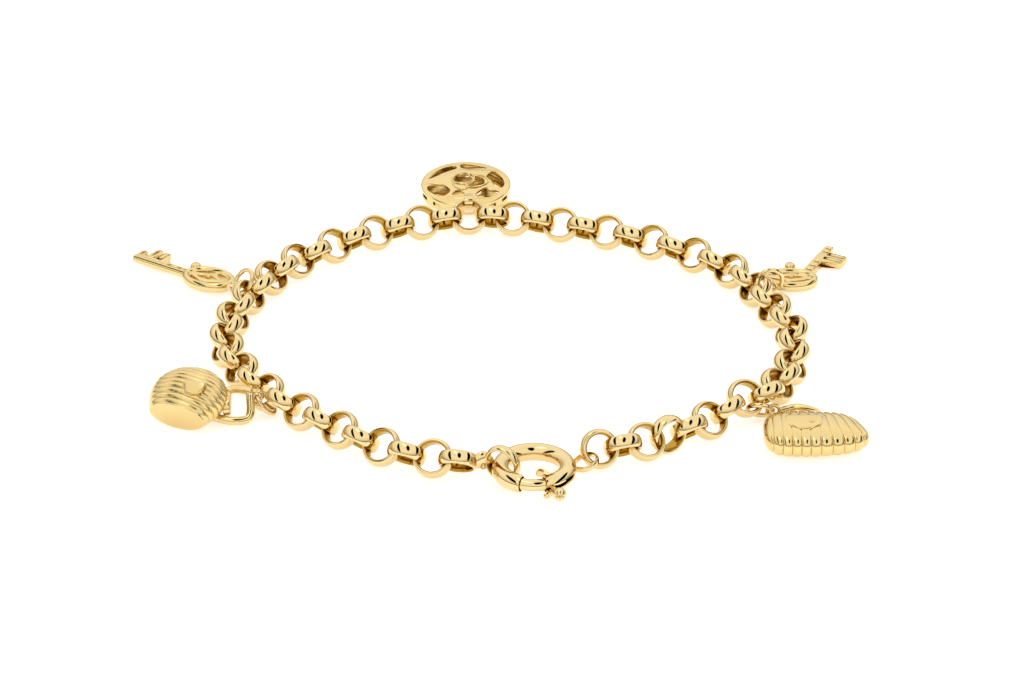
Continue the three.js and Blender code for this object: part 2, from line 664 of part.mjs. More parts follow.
const LOOP_HALF_HEIGHT = 1.05;
const LOOP_WIRE = 0.34;
const LOOP_BAND = 1.0;
const LOOP_SEAT = 0.05;
const LOOP_START = [-0.05, DISC.shift[1] - DISC.radius + LOOP_SEAT, 1.3];
const LOOP_RISE = 1.27;
const LOOP_PAST = 1.3;
const LOOP_SUNK = 0.45;

// Wide loop from the edge of the medallion round the upper side of a chain link
function discLoop() {
  const link = routePoint(HOOK_LINK);
  const edge = new THREE.Vector3(link.x + LOOP_START[0], link.y + LOOP_START[1], LOOP_START[2]);
  const long = link.clone().add(new THREE.Vector3(0, LOOP_RISE, LOOP_RISE)).sub(edge);
  const length = long.length() + LOOP_PAST + LOOP_SUNK;
  const outline = ovalShape(length / 2, LOOP_HALF_HEIGHT);
  outline.holes.push(ovalShape(length / 2 - LOOP_WIRE, LOOP_HALF_HEIGHT - LOOP_WIRE));
  const middle = edge.clone().addScaledVector(long.normalize(), length / 2 - LOOP_SUNK);
  const side = new THREE.Vector3(1, 0.03, 0);
  return plate(outline, LOOP_BAND, 7).transform(frameXZ(middle, long, side).elements);
}

function medallion() {
  return disc().add(discLoop());
}

function mesh(name, body, colour, roughness) {
  const item = new THREE.Mesh(geometryOf(body), goldMaterial(colour, roughness));
  item.name = name;
  return item;
}

const bracelet = new THREE.Group();
bracelet.name = "charm_bracelet";
const clasp = new THREE.Group();
clasp.name = "clasp";
clasp.position.copy(CLASP_CENTRE);
clasp.add(mesh("bolt_ring", claspBody(), GOLD, 0.16));
clasp.add(mesh("clasp_bolt", claspBolt(), GOLD, 0.16));
bracelet.add(clasp);
bracelet.add(mesh("chain_right", chainRun(0, MEETING_LINK), GOLD, 0.18));
bracelet.add(mesh("chain_left", chainRun(MEETING_LINK + 1, LAST_LINK), GOLD, 0.18));
bracelet.add(mesh("end_connector", endConnector(), GOLD, 0.18));
bracelet.add(mesh("medallion", medallion(), GOLD, 0.2));
bracelet.add(mesh("left_key", keyCharm(KEY_LEFT, RINGS.left_key), GOLD, 0.22));
bracelet.add(mesh("right_key", keyCharm(KEY_RIGHT, RINGS.right_key), GOLD, 0.22));
bracelet.add(mesh("ribbed_bag", ribbedBag(RINGS.ribbed_bag), GOLD, 0.2));
bracelet.add(mesh("pleated_bag", pleatedBag(RINGS.pleated_bag), GOLD, 0.2));
for (const [charm, ring] of Object.entries(RINGS)) {
  bracelet.add(mesh(`${charm}_ring`, jumpRing(ring), GOLD, 0.2));
}

// The middle of the footprint goes to the origin, the lowest point to the table
bracelet.updateMatrixWorld(true);
const bounds = new THREE.Box3().setFromObject(bracelet);
bracelet.position.set(-(bounds.min.x + bounds.max.x) / 2, -(bounds.min.y + bounds.max.y) / 2, -bounds.min.z);

export default bracelet;
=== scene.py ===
import math

import bmesh
import bpy
import numpy as np
from mathutils import Matrix, Vector


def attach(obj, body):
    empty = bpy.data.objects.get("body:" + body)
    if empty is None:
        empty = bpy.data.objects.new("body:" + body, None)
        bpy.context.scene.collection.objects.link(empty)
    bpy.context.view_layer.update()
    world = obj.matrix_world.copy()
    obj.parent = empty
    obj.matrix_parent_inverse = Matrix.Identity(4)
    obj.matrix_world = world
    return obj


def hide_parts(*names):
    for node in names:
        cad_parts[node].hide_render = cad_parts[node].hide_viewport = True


bl_info = {
    "name": "Gold Charm Bracelet",
    "version": (1, 0, 0),
    "blender": (4, 5, 0),
    "location": "3D View > Sidebar > Bracelet",
    "description": "Dresses the packed charm bracelet in polished gold pieces on a studio table",
    "category": "Add Mesh",
}

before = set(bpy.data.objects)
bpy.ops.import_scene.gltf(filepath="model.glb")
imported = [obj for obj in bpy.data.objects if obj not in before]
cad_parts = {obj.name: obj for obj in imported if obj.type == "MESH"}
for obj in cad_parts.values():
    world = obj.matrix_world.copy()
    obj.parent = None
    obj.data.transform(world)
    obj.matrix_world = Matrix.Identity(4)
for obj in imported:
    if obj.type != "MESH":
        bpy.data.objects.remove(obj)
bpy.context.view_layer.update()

MM = 0.001
WELD = 0.0005 * MM
# The table's middle as the chain's route counts it, in the part's own frame
TABLE_SHIFT = Vector((2.398, -2.5227, -0.0096))

# Chosen points of the chain's route: link number, x, y, lift above the lying height, in millimetres
ROUTE = [
    (-1, 6.5, -27.7, -0.1), (0, 8.8, -27.05, 0.16), (2, 13.5, -25.3, 0), (3, 15.8, -23.9, 0.1),
    (5, 20.1, -20.9, 0), (7, 24.0, -17.1, 0.5), (8, 26.2, -16.2, 0.5), (10, 28.3, -12.0, 0.15),
    (12, 29.6, -7.0, 0), (14, 29.8, -1.7, 0), (16, 28.3, 3.4, 0), (20, 24.1, 12.8, 0),
    (24, 15.6, 19.8, 0), (28, 5.5, 24.2, 0), (32, -4.9, 26.2, 0), (36, -15.3, 22.2, 0),
    (40, -23.7, 15.1, 0), (43, -27.5, 8.9, 0), (45, -29.4, 3.9, 0), (48, -30.4, -3.3, 0),
    (51, -28.2, -10.3, 0), (53, -25.3, -14.9, 0), (55, -21.5, -19.1, 0), (59, -13.1, -26.4, 0),
    (61, -7.9, -28.7, 0), (62, -5.42, -29.25, 0.02), (63, -2.7, -29.6, 0.02),
]
# Height of a leaning link's middle over the table
LYING_HEIGHT = 1.98
LEAN = math.pi / 4
# The link at the clasp's eye leans further and is of heavier wire
FIRST_LEAN = 2.62
FIRST_LINK_WALL = 1.2
UPRIGHT_LINK = 3
# Last link of the right half; the halves move apart a little where they meet
MEETING_LINK = 30
MEETING_SHIFT = 0.15
LAST_LINK = 61
UP = Vector((0, 0, 1))


def linear(text):
    """Linear red, green, blue and alpha of an sRGB hex colour."""
    values = [int(text[i:i + 2], 16) / 255 for i in (1, 3, 5)]
    return tuple(v / 12.92 if v <= 0.04045 else ((v + 0.055) / 1.055) ** 2.4 for v in values) + (1.0,)


def setting(name, description, default, least, most):
    """Length setting, from values in millimetres."""
    return bpy.props.FloatProperty(name=name, description=description, default=default * MM, min=least * MM,
                                   max=most * MM, unit="LENGTH", precision=5)


class BraceletSizes(bpy.types.PropertyGroup):
    """Sizes of the bracelet's repeated pieces"""

    link_outer: setting("Link diameter", "Outer diameter of one round link", 4.15, 2, 8)
    link_wire: setting("Link wall", "Thickness of a link's wire, measured outwards", 0.55, 0.2, 1.5)
    link_band: setting("Link band", "Width of a link's half-round band", 1.45, 0.5, 3)
    clasp_radius: setting("Clasp radius", "Radius of the bolt ring to the middle of its tube", 3.38, 2, 6)
    tube_radius: setting("Clasp tube", "Outer radius of the bolt ring's tube", 0.92, 0.4, 2)
    small_ring: setting("Small ring", "Radius of the rings that carry the charms", 1.34, 0.8, 3)


class BraceletLooks(bpy.types.PropertyGroup):
    """Colours of the metal and of the table"""

    gold: bpy.props.FloatVectorProperty(
        name="Polished gold", description="Colour that the polished gold reflects",
        default=linear("#E6CE98")[:3], size=3, min=0, max=1, subtype="COLOR")
    table: bpy.props.FloatVectorProperty(
        name="Table", description="Colour of the plain table",
        default=linear("#F7F7F7")[:3], size=3, min=0, max=1, subtype="COLOR")
    light: bpy.props.FloatProperty(
        name="Room light", description="Brightness of the white studio round the bracelet",
        default=1.15, min=0, max=5, subtype="FACTOR")


def size(name):
    """One of the user's sizes, in millimetres."""
    return getattr(bpy.context.scene.bracelet_sizes, name) / MM


def shown(name, data):
    """New object in the scene."""
    made = bpy.data.objects.new(name, data)
    bpy.context.scene.collection.objects.link(made)
    return made


def empty_tree(owner):
    """Cleared node tree of a material or world."""
    owner.use_nodes = True
    owner.node_tree.nodes.clear()
    return owner.node_tree


def node(tree, kind, settings=None, sockets=None, links=None):
    """Adds one node, sets its properties and sockets, and links its inputs."""
    made = tree.nodes.new(kind)
    for key, value in (settings or {}).items():
        setattr(made, key, value)
    for key, value in (sockets or {}).items():
        made.inputs[key].default_value = value
    for key, source in (links or {}).items():
        tree.links.new(source, made.inputs[key])
    return made


# Shapes: an array of points in millimetres and a list of faces

def circle(count):
    """Angles round a full circle."""
    return np.linspace(0, 2 * math.pi, count, endpoint=False)


def spoke(degrees):
    """Level direction at an angle."""
    a = math.radians(degrees)
    return Vector((math.cos(a), math.sin(a), 0))


def joined(shapes):
    points, faces, start = [], [], 0
    for verts, polygons in shapes:
        points.append(np.asarray(verts, dtype=float))
        faces += [[start + i for i in face] for face in polygons]
        start += len(verts)
    return np.vstack(points), faces


def placed(shape, matrix):
    verts, faces = shape
    return np.asarray(verts) @ np.array(matrix.to_3x3()).T + np.array(matrix.translation), faces


def grid(rows, wrap_rows=False, wrap_columns=False, caps=False):
    """Skin over rows of points; rows or columns may close on themselves, and ends may be capped."""
    rows = np.asarray(rows, dtype=float)
    n, m = rows.shape[:2]
    faces = []
    for i in range(n if wrap_rows else n - 1):
        for j in range(m if wrap_columns else m - 1):
            a, b = i * m + j, i * m + (j + 1) % m
            c, d = ((i + 1) % n) * m + (j + 1) % m, ((i + 1) % n) * m + j
            faces.append([a, b, c, d])
    if caps:
        faces.append(list(range(m))[::-1])
        faces.append([(n - 1) * m + j for j in range(m)])
    return rows.reshape(-1, 3), faces


def revolved(profile, segments, start=0.0, end=2 * math.pi, closed=True):
    """Profile of (radius, height) pairs turned round Y."""
    whole = abs(end - start - 2 * math.pi) < 1e-6
    count = segments if whole else segments + 1
    rows = []
    for i in range(count):
        angle = start + (end - start) * i / segments
        rows.append([(r * math.cos(angle), y, r * math.sin(angle)) for r, y in profile])
    return grid(rows, wrap_rows=whole, wrap_columns=closed, caps=closed and not whole)


# Rounded end of a bar: share to which its section narrows, and share of its width by which that stands out
END_SHARE, END_REACH = 0.6, 0.35


def swept(points, widths, heights=None, sides=20):
    """Round or oval bar along points; widths and heights are half sizes at each point."""
    points = [Vector(p) for p in points]
    heights = heights or widths
    rows = []
    for i, point in enumerate(points):
        along = (points[min(i + 1, len(points) - 1)] - points[max(i - 1, 0)]).normalized()
        side = along.cross(UP).normalized()
        top = side.cross(along).normalized()
        rows.append([point + side * (widths[i] * math.cos(a)) + top * (heights[i] * math.sin(a))
                     for a in (2 * math.pi * k / sides for k in range(sides))])

    def end(point, before, width, row):
        return [point + (p - point) * END_SHARE + (point - before).normalized() * END_REACH * width for p in row]

    rows.insert(0, end(points[0], points[1], widths[0], rows[0]))
    rows.append(end(points[-1], points[-2], widths[-1], rows[-1]))
    return grid(rows, wrap_columns=True, caps=True)


def closed_wire(path, radius, sides=12, tall=None):
    """Round or oval wire along a closed path."""
    tall = tall or radius
    rows = []
    count = len(path)
    for i, point in enumerate(path):
        along = (path[(i + 1) % count] - path[i - 1]).normalized()
        side = along.cross(UP).normalized()
        top = side.cross(along)
        rows.append([point + side * (radius * math.cos(a)) + top * (tall * math.sin(a)) for a in circle(sides)])
    return grid(rows, wrap_rows=True, wrap_columns=True)


def neck(start, end, widths):
    """Short bar between two points, with a half width at its start, middle and end."""
    return swept([start, start.lerp(end, 0.5), end], widths, sides=16)


def wire_ring(place, radius, wire, sides, steps):
    """Ring of round wire."""
    profile = [(radius + wire * math.cos(a), wire * math.sin(a)) for a in circle(sides)]
    return placed(revolved(profile[::-1], steps), place)


def ball(centre, radius, squash=(1, 1, 1), rings=18, sides=28):
    rows = []
    for i in range(rings + 1):
        polar = math.pi * (0.02 + 0.96 * i / rings)
        rows.append([(centre[0] + radius * squash[0] * math.sin(polar) * math.cos(a),
                      centre[1] + radius * squash[1] * math.sin(polar) * math.sin(a),
                      centre[2] + radius * squash[2] * math.cos(polar)) for a in circle(sides)])
    return grid(rows, wrap_columns=True, caps=True)


def smooth_path(points, steps, closed=False):
    """Smooth curve through points."""
    points = [Vector(p) for p in points]
    count = len(points)
    path = []
    for i in range(count if closed else count - 1):
        p0, p1, p2, p3 = (points[j % count if closed else min(max(j, 0), count - 1)] for j in range(i - 1, i + 3))
        for k in range(steps):
            t = k / steps
            path.append(0.5 * ((2 * p1) + (p2 - p0) * t + (2 * p0 - 5 * p1 + 4 * p2 - p3) * t * t
                               + (3 * p1 - p0 - 3 * p2 + p3) * t ** 3))
    if not closed:
        path.append(points[-1])
    return path


def oval(half_length, half_width, count=72, centre=(0, 0)):
    return [(centre[0] + half_length * math.cos(a), centre[1] + half_width * math.sin(a)) for a in circle(count)]


def loop(points, steps=8):
    """Smooth closed outline through flat points."""
    return [(p.x, p.y) for p in smooth_path([(x, y, 0) for x, y in points], steps, closed=True)]


def pierced_plate(outline, holes, thickness, edge):
    """Flat plate with openings cut through it and all its edges rounded."""
    curve = bpy.data.curves.new("plate outline", "CURVE")
    curve.dimensions = "2D"
    curve.fill_mode = "BOTH"
    curve.extrude = max(thickness / 2 - edge, 0.001)
    curve.bevel_depth = edge
    curve.bevel_resolution = 3
    curve.offset = -edge
    for points in [outline] + list(holes):
        spline = curve.splines.new("POLY")
        spline.points.add(len(points) - 1)
        for k, (x, y) in enumerate(points):
            spline.points[k].co = (x, y, 0, 1)
        spline.use_cyclic_u = True
    holder = shown("plate outline", curve)
    bpy.context.view_layer.update()
    mesh = bpy.data.meshes.new_from_object(holder.evaluated_get(bpy.context.evaluated_depsgraph_get()))
    verts = [tuple(v.co) for v in mesh.vertices]
    faces = [list(p.vertices) for p in mesh.polygons]
    bpy.data.objects.remove(holder)
    bpy.data.curves.remove(curve)
    bpy.data.meshes.remove(mesh)
    return verts, faces


def frame_of(origin, x, y, z):
    return Matrix.Translation(Vector(origin)) @ Matrix((x, y, z)).transposed().to_4x4()


def frame_xy(origin, x_direction, y_direction):
    """Frame that keeps its Y direction exactly."""
    y = Vector(y_direction).normalized()
    z = Vector(x_direction).cross(y).normalized()
    return frame_of(origin, y.cross(z), y, z)


def frame_xz(origin, x_direction, z_direction):
    """Frame that keeps its X direction exactly."""
    x = Vector(x_direction).normalized()
    y = Vector(z_direction).cross(x).normalized()
    return frame_of(origin, x, y, x.cross(y))


# Route of the chain

def route_point(k):
    """Point of the route at a link, also between links."""
    i = next((j for j, row in enumerate(ROUTE) if row[0] > k), len(ROUTE)) - 1
    i = min(max(i, 0), len(ROUTE) - 2)

    def row(j):
        return ROUTE[min(max(j, 0), len(ROUTE) - 1)]

    def slope(j, c):
        return (row(j + 1)[c] - row(j - 1)[c]) / (row(j + 1)[0] - row(j - 1)[0])

    span = row(i + 1)[0] - row(i)[0]
    t = (k - row(i)[0]) / span
    at = [(2 * t ** 3 - 3 * t ** 2 + 1) * row(i)[c] + (t ** 3 - 2 * t ** 2 + t) * span * slope(i, c)
          + (3 * t ** 2 - 2 * t ** 3) * row(i + 1)[c] + (t ** 3 - t ** 2) * span * slope(i + 1, c)
          for c in (1, 2, 3)]
    return Vector((at[0], at[1], LYING_HEIGHT + at[2]))


def link_lean(k):
    """Links lean to one side and the other in turn; past the upright link the turns change hands."""
    if k == UPRIGHT_LINK:
        return math.pi
    if k == 0:
        return FIRST_LEAN
    even = (k % 2 == 0) == (k > UPRIGHT_LINK)
    return LEAN if even else math.pi - LEAN


def link_frame(k):
    along = (route_point(k + 0.5) - route_point(k - 0.5)).normalized()
    shift = MEETING_SHIFT if k == MEETING_LINK else -MEETING_SHIFT if k == MEETING_LINK + 1 else 0
    inward = UP.cross(along).normalized()
    up = along.cross(inward)
    axis = inward * math.cos(link_lean(k)) + up * math.sin(link_lean(k))
    return frame_xy(route_point(k) + along * shift, along, axis)


# Finishes of the user's gold: name; shares of its red, green and blue, pale and deep; roughness; size and depth of
# the faint waves that the work leaves, in millimetres
FINISHES = {
    # Rolled, soldered and buffed: a pale mirror that deepens to amber between its own walls
    "buffed": ("buffed yellow gold", (1, 1, 1), (0.98, 0.95, 0.88), 0.06, 1.6, 0.006),
    # Inside faces of the links: painted shade, a deeper and duller amber that stands in for the shade between the
    # links' walls
    "inner_painted_shade": ("inner gold with painted shade", (0.7, 0.55, 0.17), (0.52, 0.37, 0.08), 0.16, 0.9, 0.01),
    # Lost-wax cast and tumbled: softer gloss over fine relief
    "cast": ("cast and tumbled yellow gold", (0.99, 0.98, 0.93), (0.94, 0.88, 0.66), 0.11, 0.5, 0.008),
    # Cast and brushed with fine wire: satin ribs that spread each light into a soft band
    "satin": ("satin-brushed yellow gold", (1, 0.98, 0.92), (0.95, 0.88, 0.66), 0.24, 0.35, 0.01),
    # Floors of recesses and behind openings: painted shade, a warmer and deeper amber with a soft gloss in place of
    # the shade that falls there
    "recess_painted_shade": ("recess gold with painted shade", (1, 0.93, 0.62), (0.92, 0.8, 0.44), 0.25, 0.3, 0.012),
}
# Size of the pale and deep patches in millimetres, and the least and most roughness as shares of a finish's own
PATCH_SIZE = 3.0
GLOSS_SHARES = (0.7, 1.35)


def gold_tone(shares):
    """The user's gold, with its red, green and blue each reduced to a share."""
    return tuple(v * share for v, share in zip(bpy.context.scene.bracelet_looks.gold, shares)) + (1.0,)


def metal(finish):
    """Gold in one finish, with faint waves and small changes in gloss and colour."""
    name, pale, deep, roughness, wave_size, wave_depth = FINISHES[finish]
    old = bpy.data.materials.get(name)
    if old:
        return old
    made = bpy.data.materials.new(name)
    tree = empty_tree(made)
    place = node(tree, "ShaderNodeTexCoord")
    waves = node(tree, "ShaderNodeTexNoise",
                 sockets={"Scale": 1 / (wave_size * MM), "Detail": 2.0, "Roughness": 0.5},
                 links={"Vector": place.outputs["Object"]})
    bump = node(tree, "ShaderNodeBump", sockets={"Strength": 0.5, "Distance": wave_depth * MM},
                links={"Height": waves.outputs["Fac"]})
    tone = node(tree, "ShaderNodeTexNoise", sockets={"Scale": 1 / (PATCH_SIZE * MM), "Detail": 3.0},
                links={"Vector": place.outputs["Object"]})
    colour = node(tree, "ShaderNodeMix", {"data_type": "RGBA"}, {6: gold_tone(pale), 7: gold_tone(deep)},
                  {0: tone.outputs["Fac"]})
    least, most = GLOSS_SHARES
    gloss = node(tree, "ShaderNodeMapRange",
                 sockets={"From Min": 0.3, "From Max": 0.7, "To Min": least * roughness, "To Max": most * roughness},
                 links={"Value": waves.outputs["Fac"]})
    shader = node(tree, "ShaderNodeBsdfPrincipled", sockets={"Metallic": 1.0},
                  links={"Base Color": colour.outputs[2], "Roughness": gloss.outputs["Result"],
                         "Normal": bump.outputs["Normal"]})
    node(tree, "ShaderNodeOutputMaterial", links={"Surface": shader.outputs["BSDF"]})
    return made


def piece(name, finishes, nodes, body="bracelet", crease=38):
    """Makes one mesh from the shapes of each finish, in table millimetres, and lets it stand for CAD nodes."""
    groups = [joined(shapes) for shapes in finishes.values()]
    verts, faces = joined(groups)
    verts = (verts + np.array(TABLE_SHIFT)) * MM
    mesh = bpy.data.meshes.new(name)
    mesh.from_pydata(verts.tolist(), [], faces)
    slots = [i for i, group in enumerate(groups) for face in group[1]]
    mesh.polygons.foreach_set("material_index", slots)
    for material in finishes:
        mesh.materials.append(material)
    weld = bmesh.new()
    weld.from_mesh(mesh)
    bmesh.ops.remove_doubles(weld, verts=weld.verts, dist=WELD)
    weld.to_mesh(mesh)
    weld.free()
    mesh.validate()
    mesh.polygons.foreach_set("use_smooth", [True] * len(mesh.polygons))
    mesh.set_sharp_from_angle(angle=math.radians(crease))
    made = shown(name, mesh)
    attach(made, body)
    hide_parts(*nodes)


# Chain

# Half-round wire, half of it: share of the wall outwards, share of the half band
DOME = [(0.30, 0.985), (0.42, 1.0), (0.56, 0.97), (0.68, 0.89), (0.78, 0.77), (0.865, 0.61), (0.93, 0.43),
        (0.975, 0.23), (1.0, 0.0)]
INSIDE = [(0.0, 0.0), (0.0, 0.3), (0.01, 0.55), (0.04, 0.73), (0.09, 0.85), (0.18, 0.94), (0.30, 0.985)]


def band_ring(place, outer, wire, band, segments=60):
    """Ring of half-round wire: its polished dome and its inner face, as two skins."""
    ri, h = outer / 2 - wire, band / 2

    def whole(half):
        other = [(u, -v) for u, v in half[::-1] if v > 0]
        return [(ri + u * wire, v * h) for u, v in (half + other if half[-1][1] == 0 else other + half)]

    return [placed(revolved(whole(half), segments, closed=False), place) for half in (DOME, INSIDE)]


def link_shape(k):
    wall = size("link_wire") * (FIRST_LINK_WALL if k == 0 else 1)
    return band_ring(link_frame(k), size("link_outer"), wall, size("link_band"))


class BRACELET_OT_chain(bpy.types.Operator):
    """Builds the two half chains of round belcher links"""

    bl_idname = "bracelet.chain"
    bl_label = "Chain"

    def execute(self, context):
        for name, links, part in (("right_chain_links", range(0, MEETING_LINK + 1), "chain_right"),
                                  ("left_chain_links", range(MEETING_LINK + 1, LAST_LINK + 1), "chain_left")):
            domes, inners = zip(*(link_shape(k) for k in links))
            # The links' inner faces take the painted-shade amber finish
            piece(name, {metal("buffed"): domes, metal("inner_painted_shade"): inners}, [part])
        return {"FINISHED"}


# Clasp

CLASP_CENTRE = Vector((2.21, -29.9, 1.52))
GAP = (-112, -72)
BOLT_ARC = (-119, -36)
SLOT_END = -20
SLOT_HALF = 20
TRIGGER_ANGLE = -64
TRIGGER_REACH = 5.75
KNOB_RADIUS = 0.68
TUBE_WALL = 0.15
# How much the tube's wall is rounded at its mouth, and how many of its strips the slot leaves out
MOUTH_EDGE = 0.03
SLOT_STRIPS = 5
BOLT_RADIUS = 0.62
# Share to which the bolt's ends are rounded
BOLT_END = 0.85
STEM = {"start": 3.5, "widths": (0.25, 0.2, 0.24)}
# Dimples across the knob's front: directions, reach and depth as shares of its radius
DIMPLES = [(-0.5, -0.86, 0.12), (0, -0.99, 0.12), (0.5, -0.86, 0.12)]
DIMPLE_REACH, DIMPLE_DEPTH = 0.22, 0.3
# Lips at the mouth: how far they stand out, wall, how far they lie on the tube, turn back, half spread
LIP = {"length": 0.95, "wall": 0.32, "seat": 0.4, "turn_back": 12.5, "spread": 38}
# Each lip's middle, as a turn round the tube, and how far it reaches from the tube's middle
LIP_PLACES = [(126, 1.68), (-50, 1.4)]
EYE = {"angle": 19.2, "reach": 5.51, "outer": 2.84, "wire": 0.33, "band": 0.68, "height": 1.2,
       "axis": (-0.3, -0.1, 0.95), "neck_start": 4.0, "neck": (0.36, 0.3, 0.32)}


def ring_place(angle):
    """Frame on the clasp's circle: X outwards, Y along the tube."""
    out = spoke(angle)
    return frame_xy(CLASP_CENTRE + out * size("clasp_radius"), out, (-out.y, out.x, 0))


def tube_point(angle, turn, radius):
    place = ring_place(angle)
    a = math.radians(turn)
    return place @ Vector((radius * math.cos(a), 0, radius * math.sin(a)))


def tube_skin():
    """Wall of the hollow tube, open at the gap and slotted for the trigger."""
    outer = size("tube_radius")
    inner = outer - TUBE_WALL
    start, end = GAP[1], GAP[0] + 360
    angles = list(np.linspace(start, SLOT_END, 20)) + list(np.linspace(SLOT_END, end, 100))[1:]
    turns = list(np.linspace(-SLOT_HALF, SLOT_HALF, SLOT_STRIPS + 1))
    turns += list(np.linspace(SLOT_HALF, 360 - SLOT_HALF, 44))[1:-1]
    m = len(turns)
    verts, faces = [], []
    for radius in (outer, inner):
        for angle in angles:
            edge = MOUTH_EDGE if angle in (angles[0], angles[-1]) and radius == outer else 0
            verts += [tube_point(angle, turn, radius - edge) for turn in turns]
    layer = len(angles) * m

    def open_cell(i, j):
        return angles[i] < SLOT_END - 0.01 and j % m < SLOT_STRIPS

    for i in range(len(angles) - 1):
        for j in range(m):
            if open_cell(i, j):
                continue
            a, b = i * m + j, i * m + (j + 1) % m
            c, d = b + m, a + m
            faces.append([a, b, c, d])
            faces.append([layer + d, layer + c, layer + b, layer + a])
            if open_cell(i, (j + 1) % m):
                faces.append([b, layer + b, layer + c, c])
            if open_cell(i, (j - 1) % m):
                faces.append([d, layer + d, layer + a, a])
            if i > 0 and open_cell(i - 1, j):
                faces.append([b, layer + b, layer + a, a][::-1])
    for j in range(m):
        for row, flip in ((0, False), (len(angles) - 1, True)):
            if row == 0 and open_cell(0, j):
                continue
            a, b = row * m + j, row * m + (j + 1) % m
            face = [a, layer + a, layer + b, b]
            faces.append(face[::-1] if flip else face)
    return np.array([tuple(v) for v in verts]), faces


def lips():
    """Two flared lips at the tube's mouth, one inside and above the slot, one outside and below it."""
    outer = size("tube_radius")
    inner = outer - TUBE_WALL
    place = ring_place(GAP[1] + LIP["turn_back"])
    arcs = []
    for middle, reach in LIP_PLACES:
        outline = loop([(inner, LIP["seat"]), (inner, 0), (reach - LIP["wall"] - 0.06, 0.1 - LIP["length"]),
                        (reach - 0.5 * LIP["wall"], -LIP["length"]), (reach, 0.15 - LIP["length"]),
                        (outer + 0.12, 0.05), (outer + 0.01, LIP["seat"])], 4)
        start, end = math.radians(middle - LIP["spread"]), math.radians(middle + LIP["spread"])
        arcs.append(placed(revolved(outline, 14, start, end), place))
    return arcs


def eye_shapes():
    out = spoke(EYE["angle"])
    centre = CLASP_CENTRE + out * EYE["reach"]
    centre.z = EYE["height"]
    place = frame_xy(centre, out, EYE["axis"])
    ring = band_ring(place, EYE["outer"], EYE["wire"], EYE["band"], 48)
    rim = place @ Vector((-(EYE["outer"] - EYE["wire"]) / 2, 0, 0))
    wall = CLASP_CENTRE + out * EYE["neck_start"]
    wall.z = (rim.z + CLASP_CENTRE.z) / 2
    return ring + [neck(wall, rim, EYE["neck"])]


def bolt_shapes():
    """Sliding bolt with its stem and dimpled knob."""
    rows = []
    for angle in np.linspace(BOLT_ARC[0], BOLT_ARC[1], 50):
        radius = BOLT_RADIUS * (BOLT_END if angle in BOLT_ARC else 1.0)
        rows.append([tube_point(angle, turn, radius) for turn in np.linspace(0, 360, 28, endpoint=False)])
    body = grid(rows, wrap_columns=True, caps=True)
    out = spoke(TRIGGER_ANGLE)
    root, end = CLASP_CENTRE + out * STEM["start"], CLASP_CENTRE + out * TRIGGER_REACH
    stem = neck(root, end, STEM["widths"])
    verts, faces = ball((0, 0, 0), KNOB_RADIUS, rings=48, sides=72)
    return [body, stem, (dimpled(verts, KNOB_RADIUS) + np.array(end), faces)]


def dimpled(verts, radius):
    """Round dimples across the knob's front."""
    for direction in DIMPLES:
        d = np.array(direction) / np.linalg.norm(direction)
        away = np.linalg.norm(verts / radius - d, axis=1)
        depth = np.clip(1 - (away / DIMPLE_REACH) ** 2, 0, 1)
        verts = verts * (1 - DIMPLE_DEPTH * depth)[:, None]
    return verts


class BRACELET_OT_clasp(bpy.types.Operator):
    """Builds the bolt ring, its eye, and the sliding bolt with its trigger"""

    bl_idname = "bracelet.clasp"
    bl_label = "Clasp"

    def execute(self, context):
        gold = metal("buffed")
        piece("bolt_ring_tube", {gold: [tube_skin()] + lips() + eye_shapes()}, ["bolt_ring"])
        piece("bolt_and_trigger", {gold: bolt_shapes()}, ["clasp_bolt"], body="trigger_bolt")
        return {"FINISHED"}


# End connector

END_RING = {"centre": (-0.96, -30.08, 2.2), "turn": -28, "outer": 3.94, "wire": 0.5, "band": 1.05}
# Neck between the end link and the ring: share of the way, half width, half height, lift
NECK = [(-0.3, 0.5, 0.62, -0.02), (0, 0.56, 0.8, 0.02), (0.25, 0.56, 0.86, 0.05), (0.5, 0.54, 0.9, 0.1),
        (0.75, 0.52, 0.93, 0.13), (1, 0.5, 0.86, 0.2), (1.18, 0.46, 0.72, 0.36)]
BEAD_SEAT = (0.2, -0.56, -0.3)
BEAD_RADIUS = 0.23
# Radius and wire of the cup round the bead
CUP = (0.31, 0.08)


class BRACELET_OT_connector(bpy.types.Operator):
    """Builds the chain's end link with its neck and the upright ring that the clasp takes"""

    bl_idname = "bracelet.connector"
    bl_label = "End connector"

    def execute(self, context):
        across = spoke(END_RING["turn"])
        place = frame_xy(END_RING["centre"], across, (across.y, -across.x, 0))
        dome, inner = band_ring(place, END_RING["outer"], END_RING["wire"], END_RING["band"], 72)
        link_dome, link_inner = link_shape(LAST_LINK + 1)
        start = link_frame(LAST_LINK + 1) @ Vector(((size("link_outer") - size("link_wire")) / 2, 0, 0))
        end = place @ Vector((-(END_RING["outer"] - END_RING["wire"]) / 2, 0, 0))
        path = [start.lerp(end, share) + Vector((0, 0, lift)) for share, _, _, lift in NECK]
        bar = swept(path, [row[1] for row in NECK], [row[2] for row in NECK], sides=28)
        seat = start.lerp(end, 0.5) + Vector(BEAD_SEAT)
        cup = wire_ring(frame_xy(seat, (1, 0, 0), (0, -0.8, 0.6)), *CUP, 12, 28)
        bead = ball(seat, BEAD_RADIUS)
        # The inner faces of the end link and of the ring take the painted-shade amber finish
        piece("chain_end_connector", {metal("buffed"): [link_dome, dome, bar, cup, bead],
                                      metal("inner_painted_shade"): [link_inner, inner]}, ["end_connector"])
        return {"FINISHED"}


# Small rings and eyelets

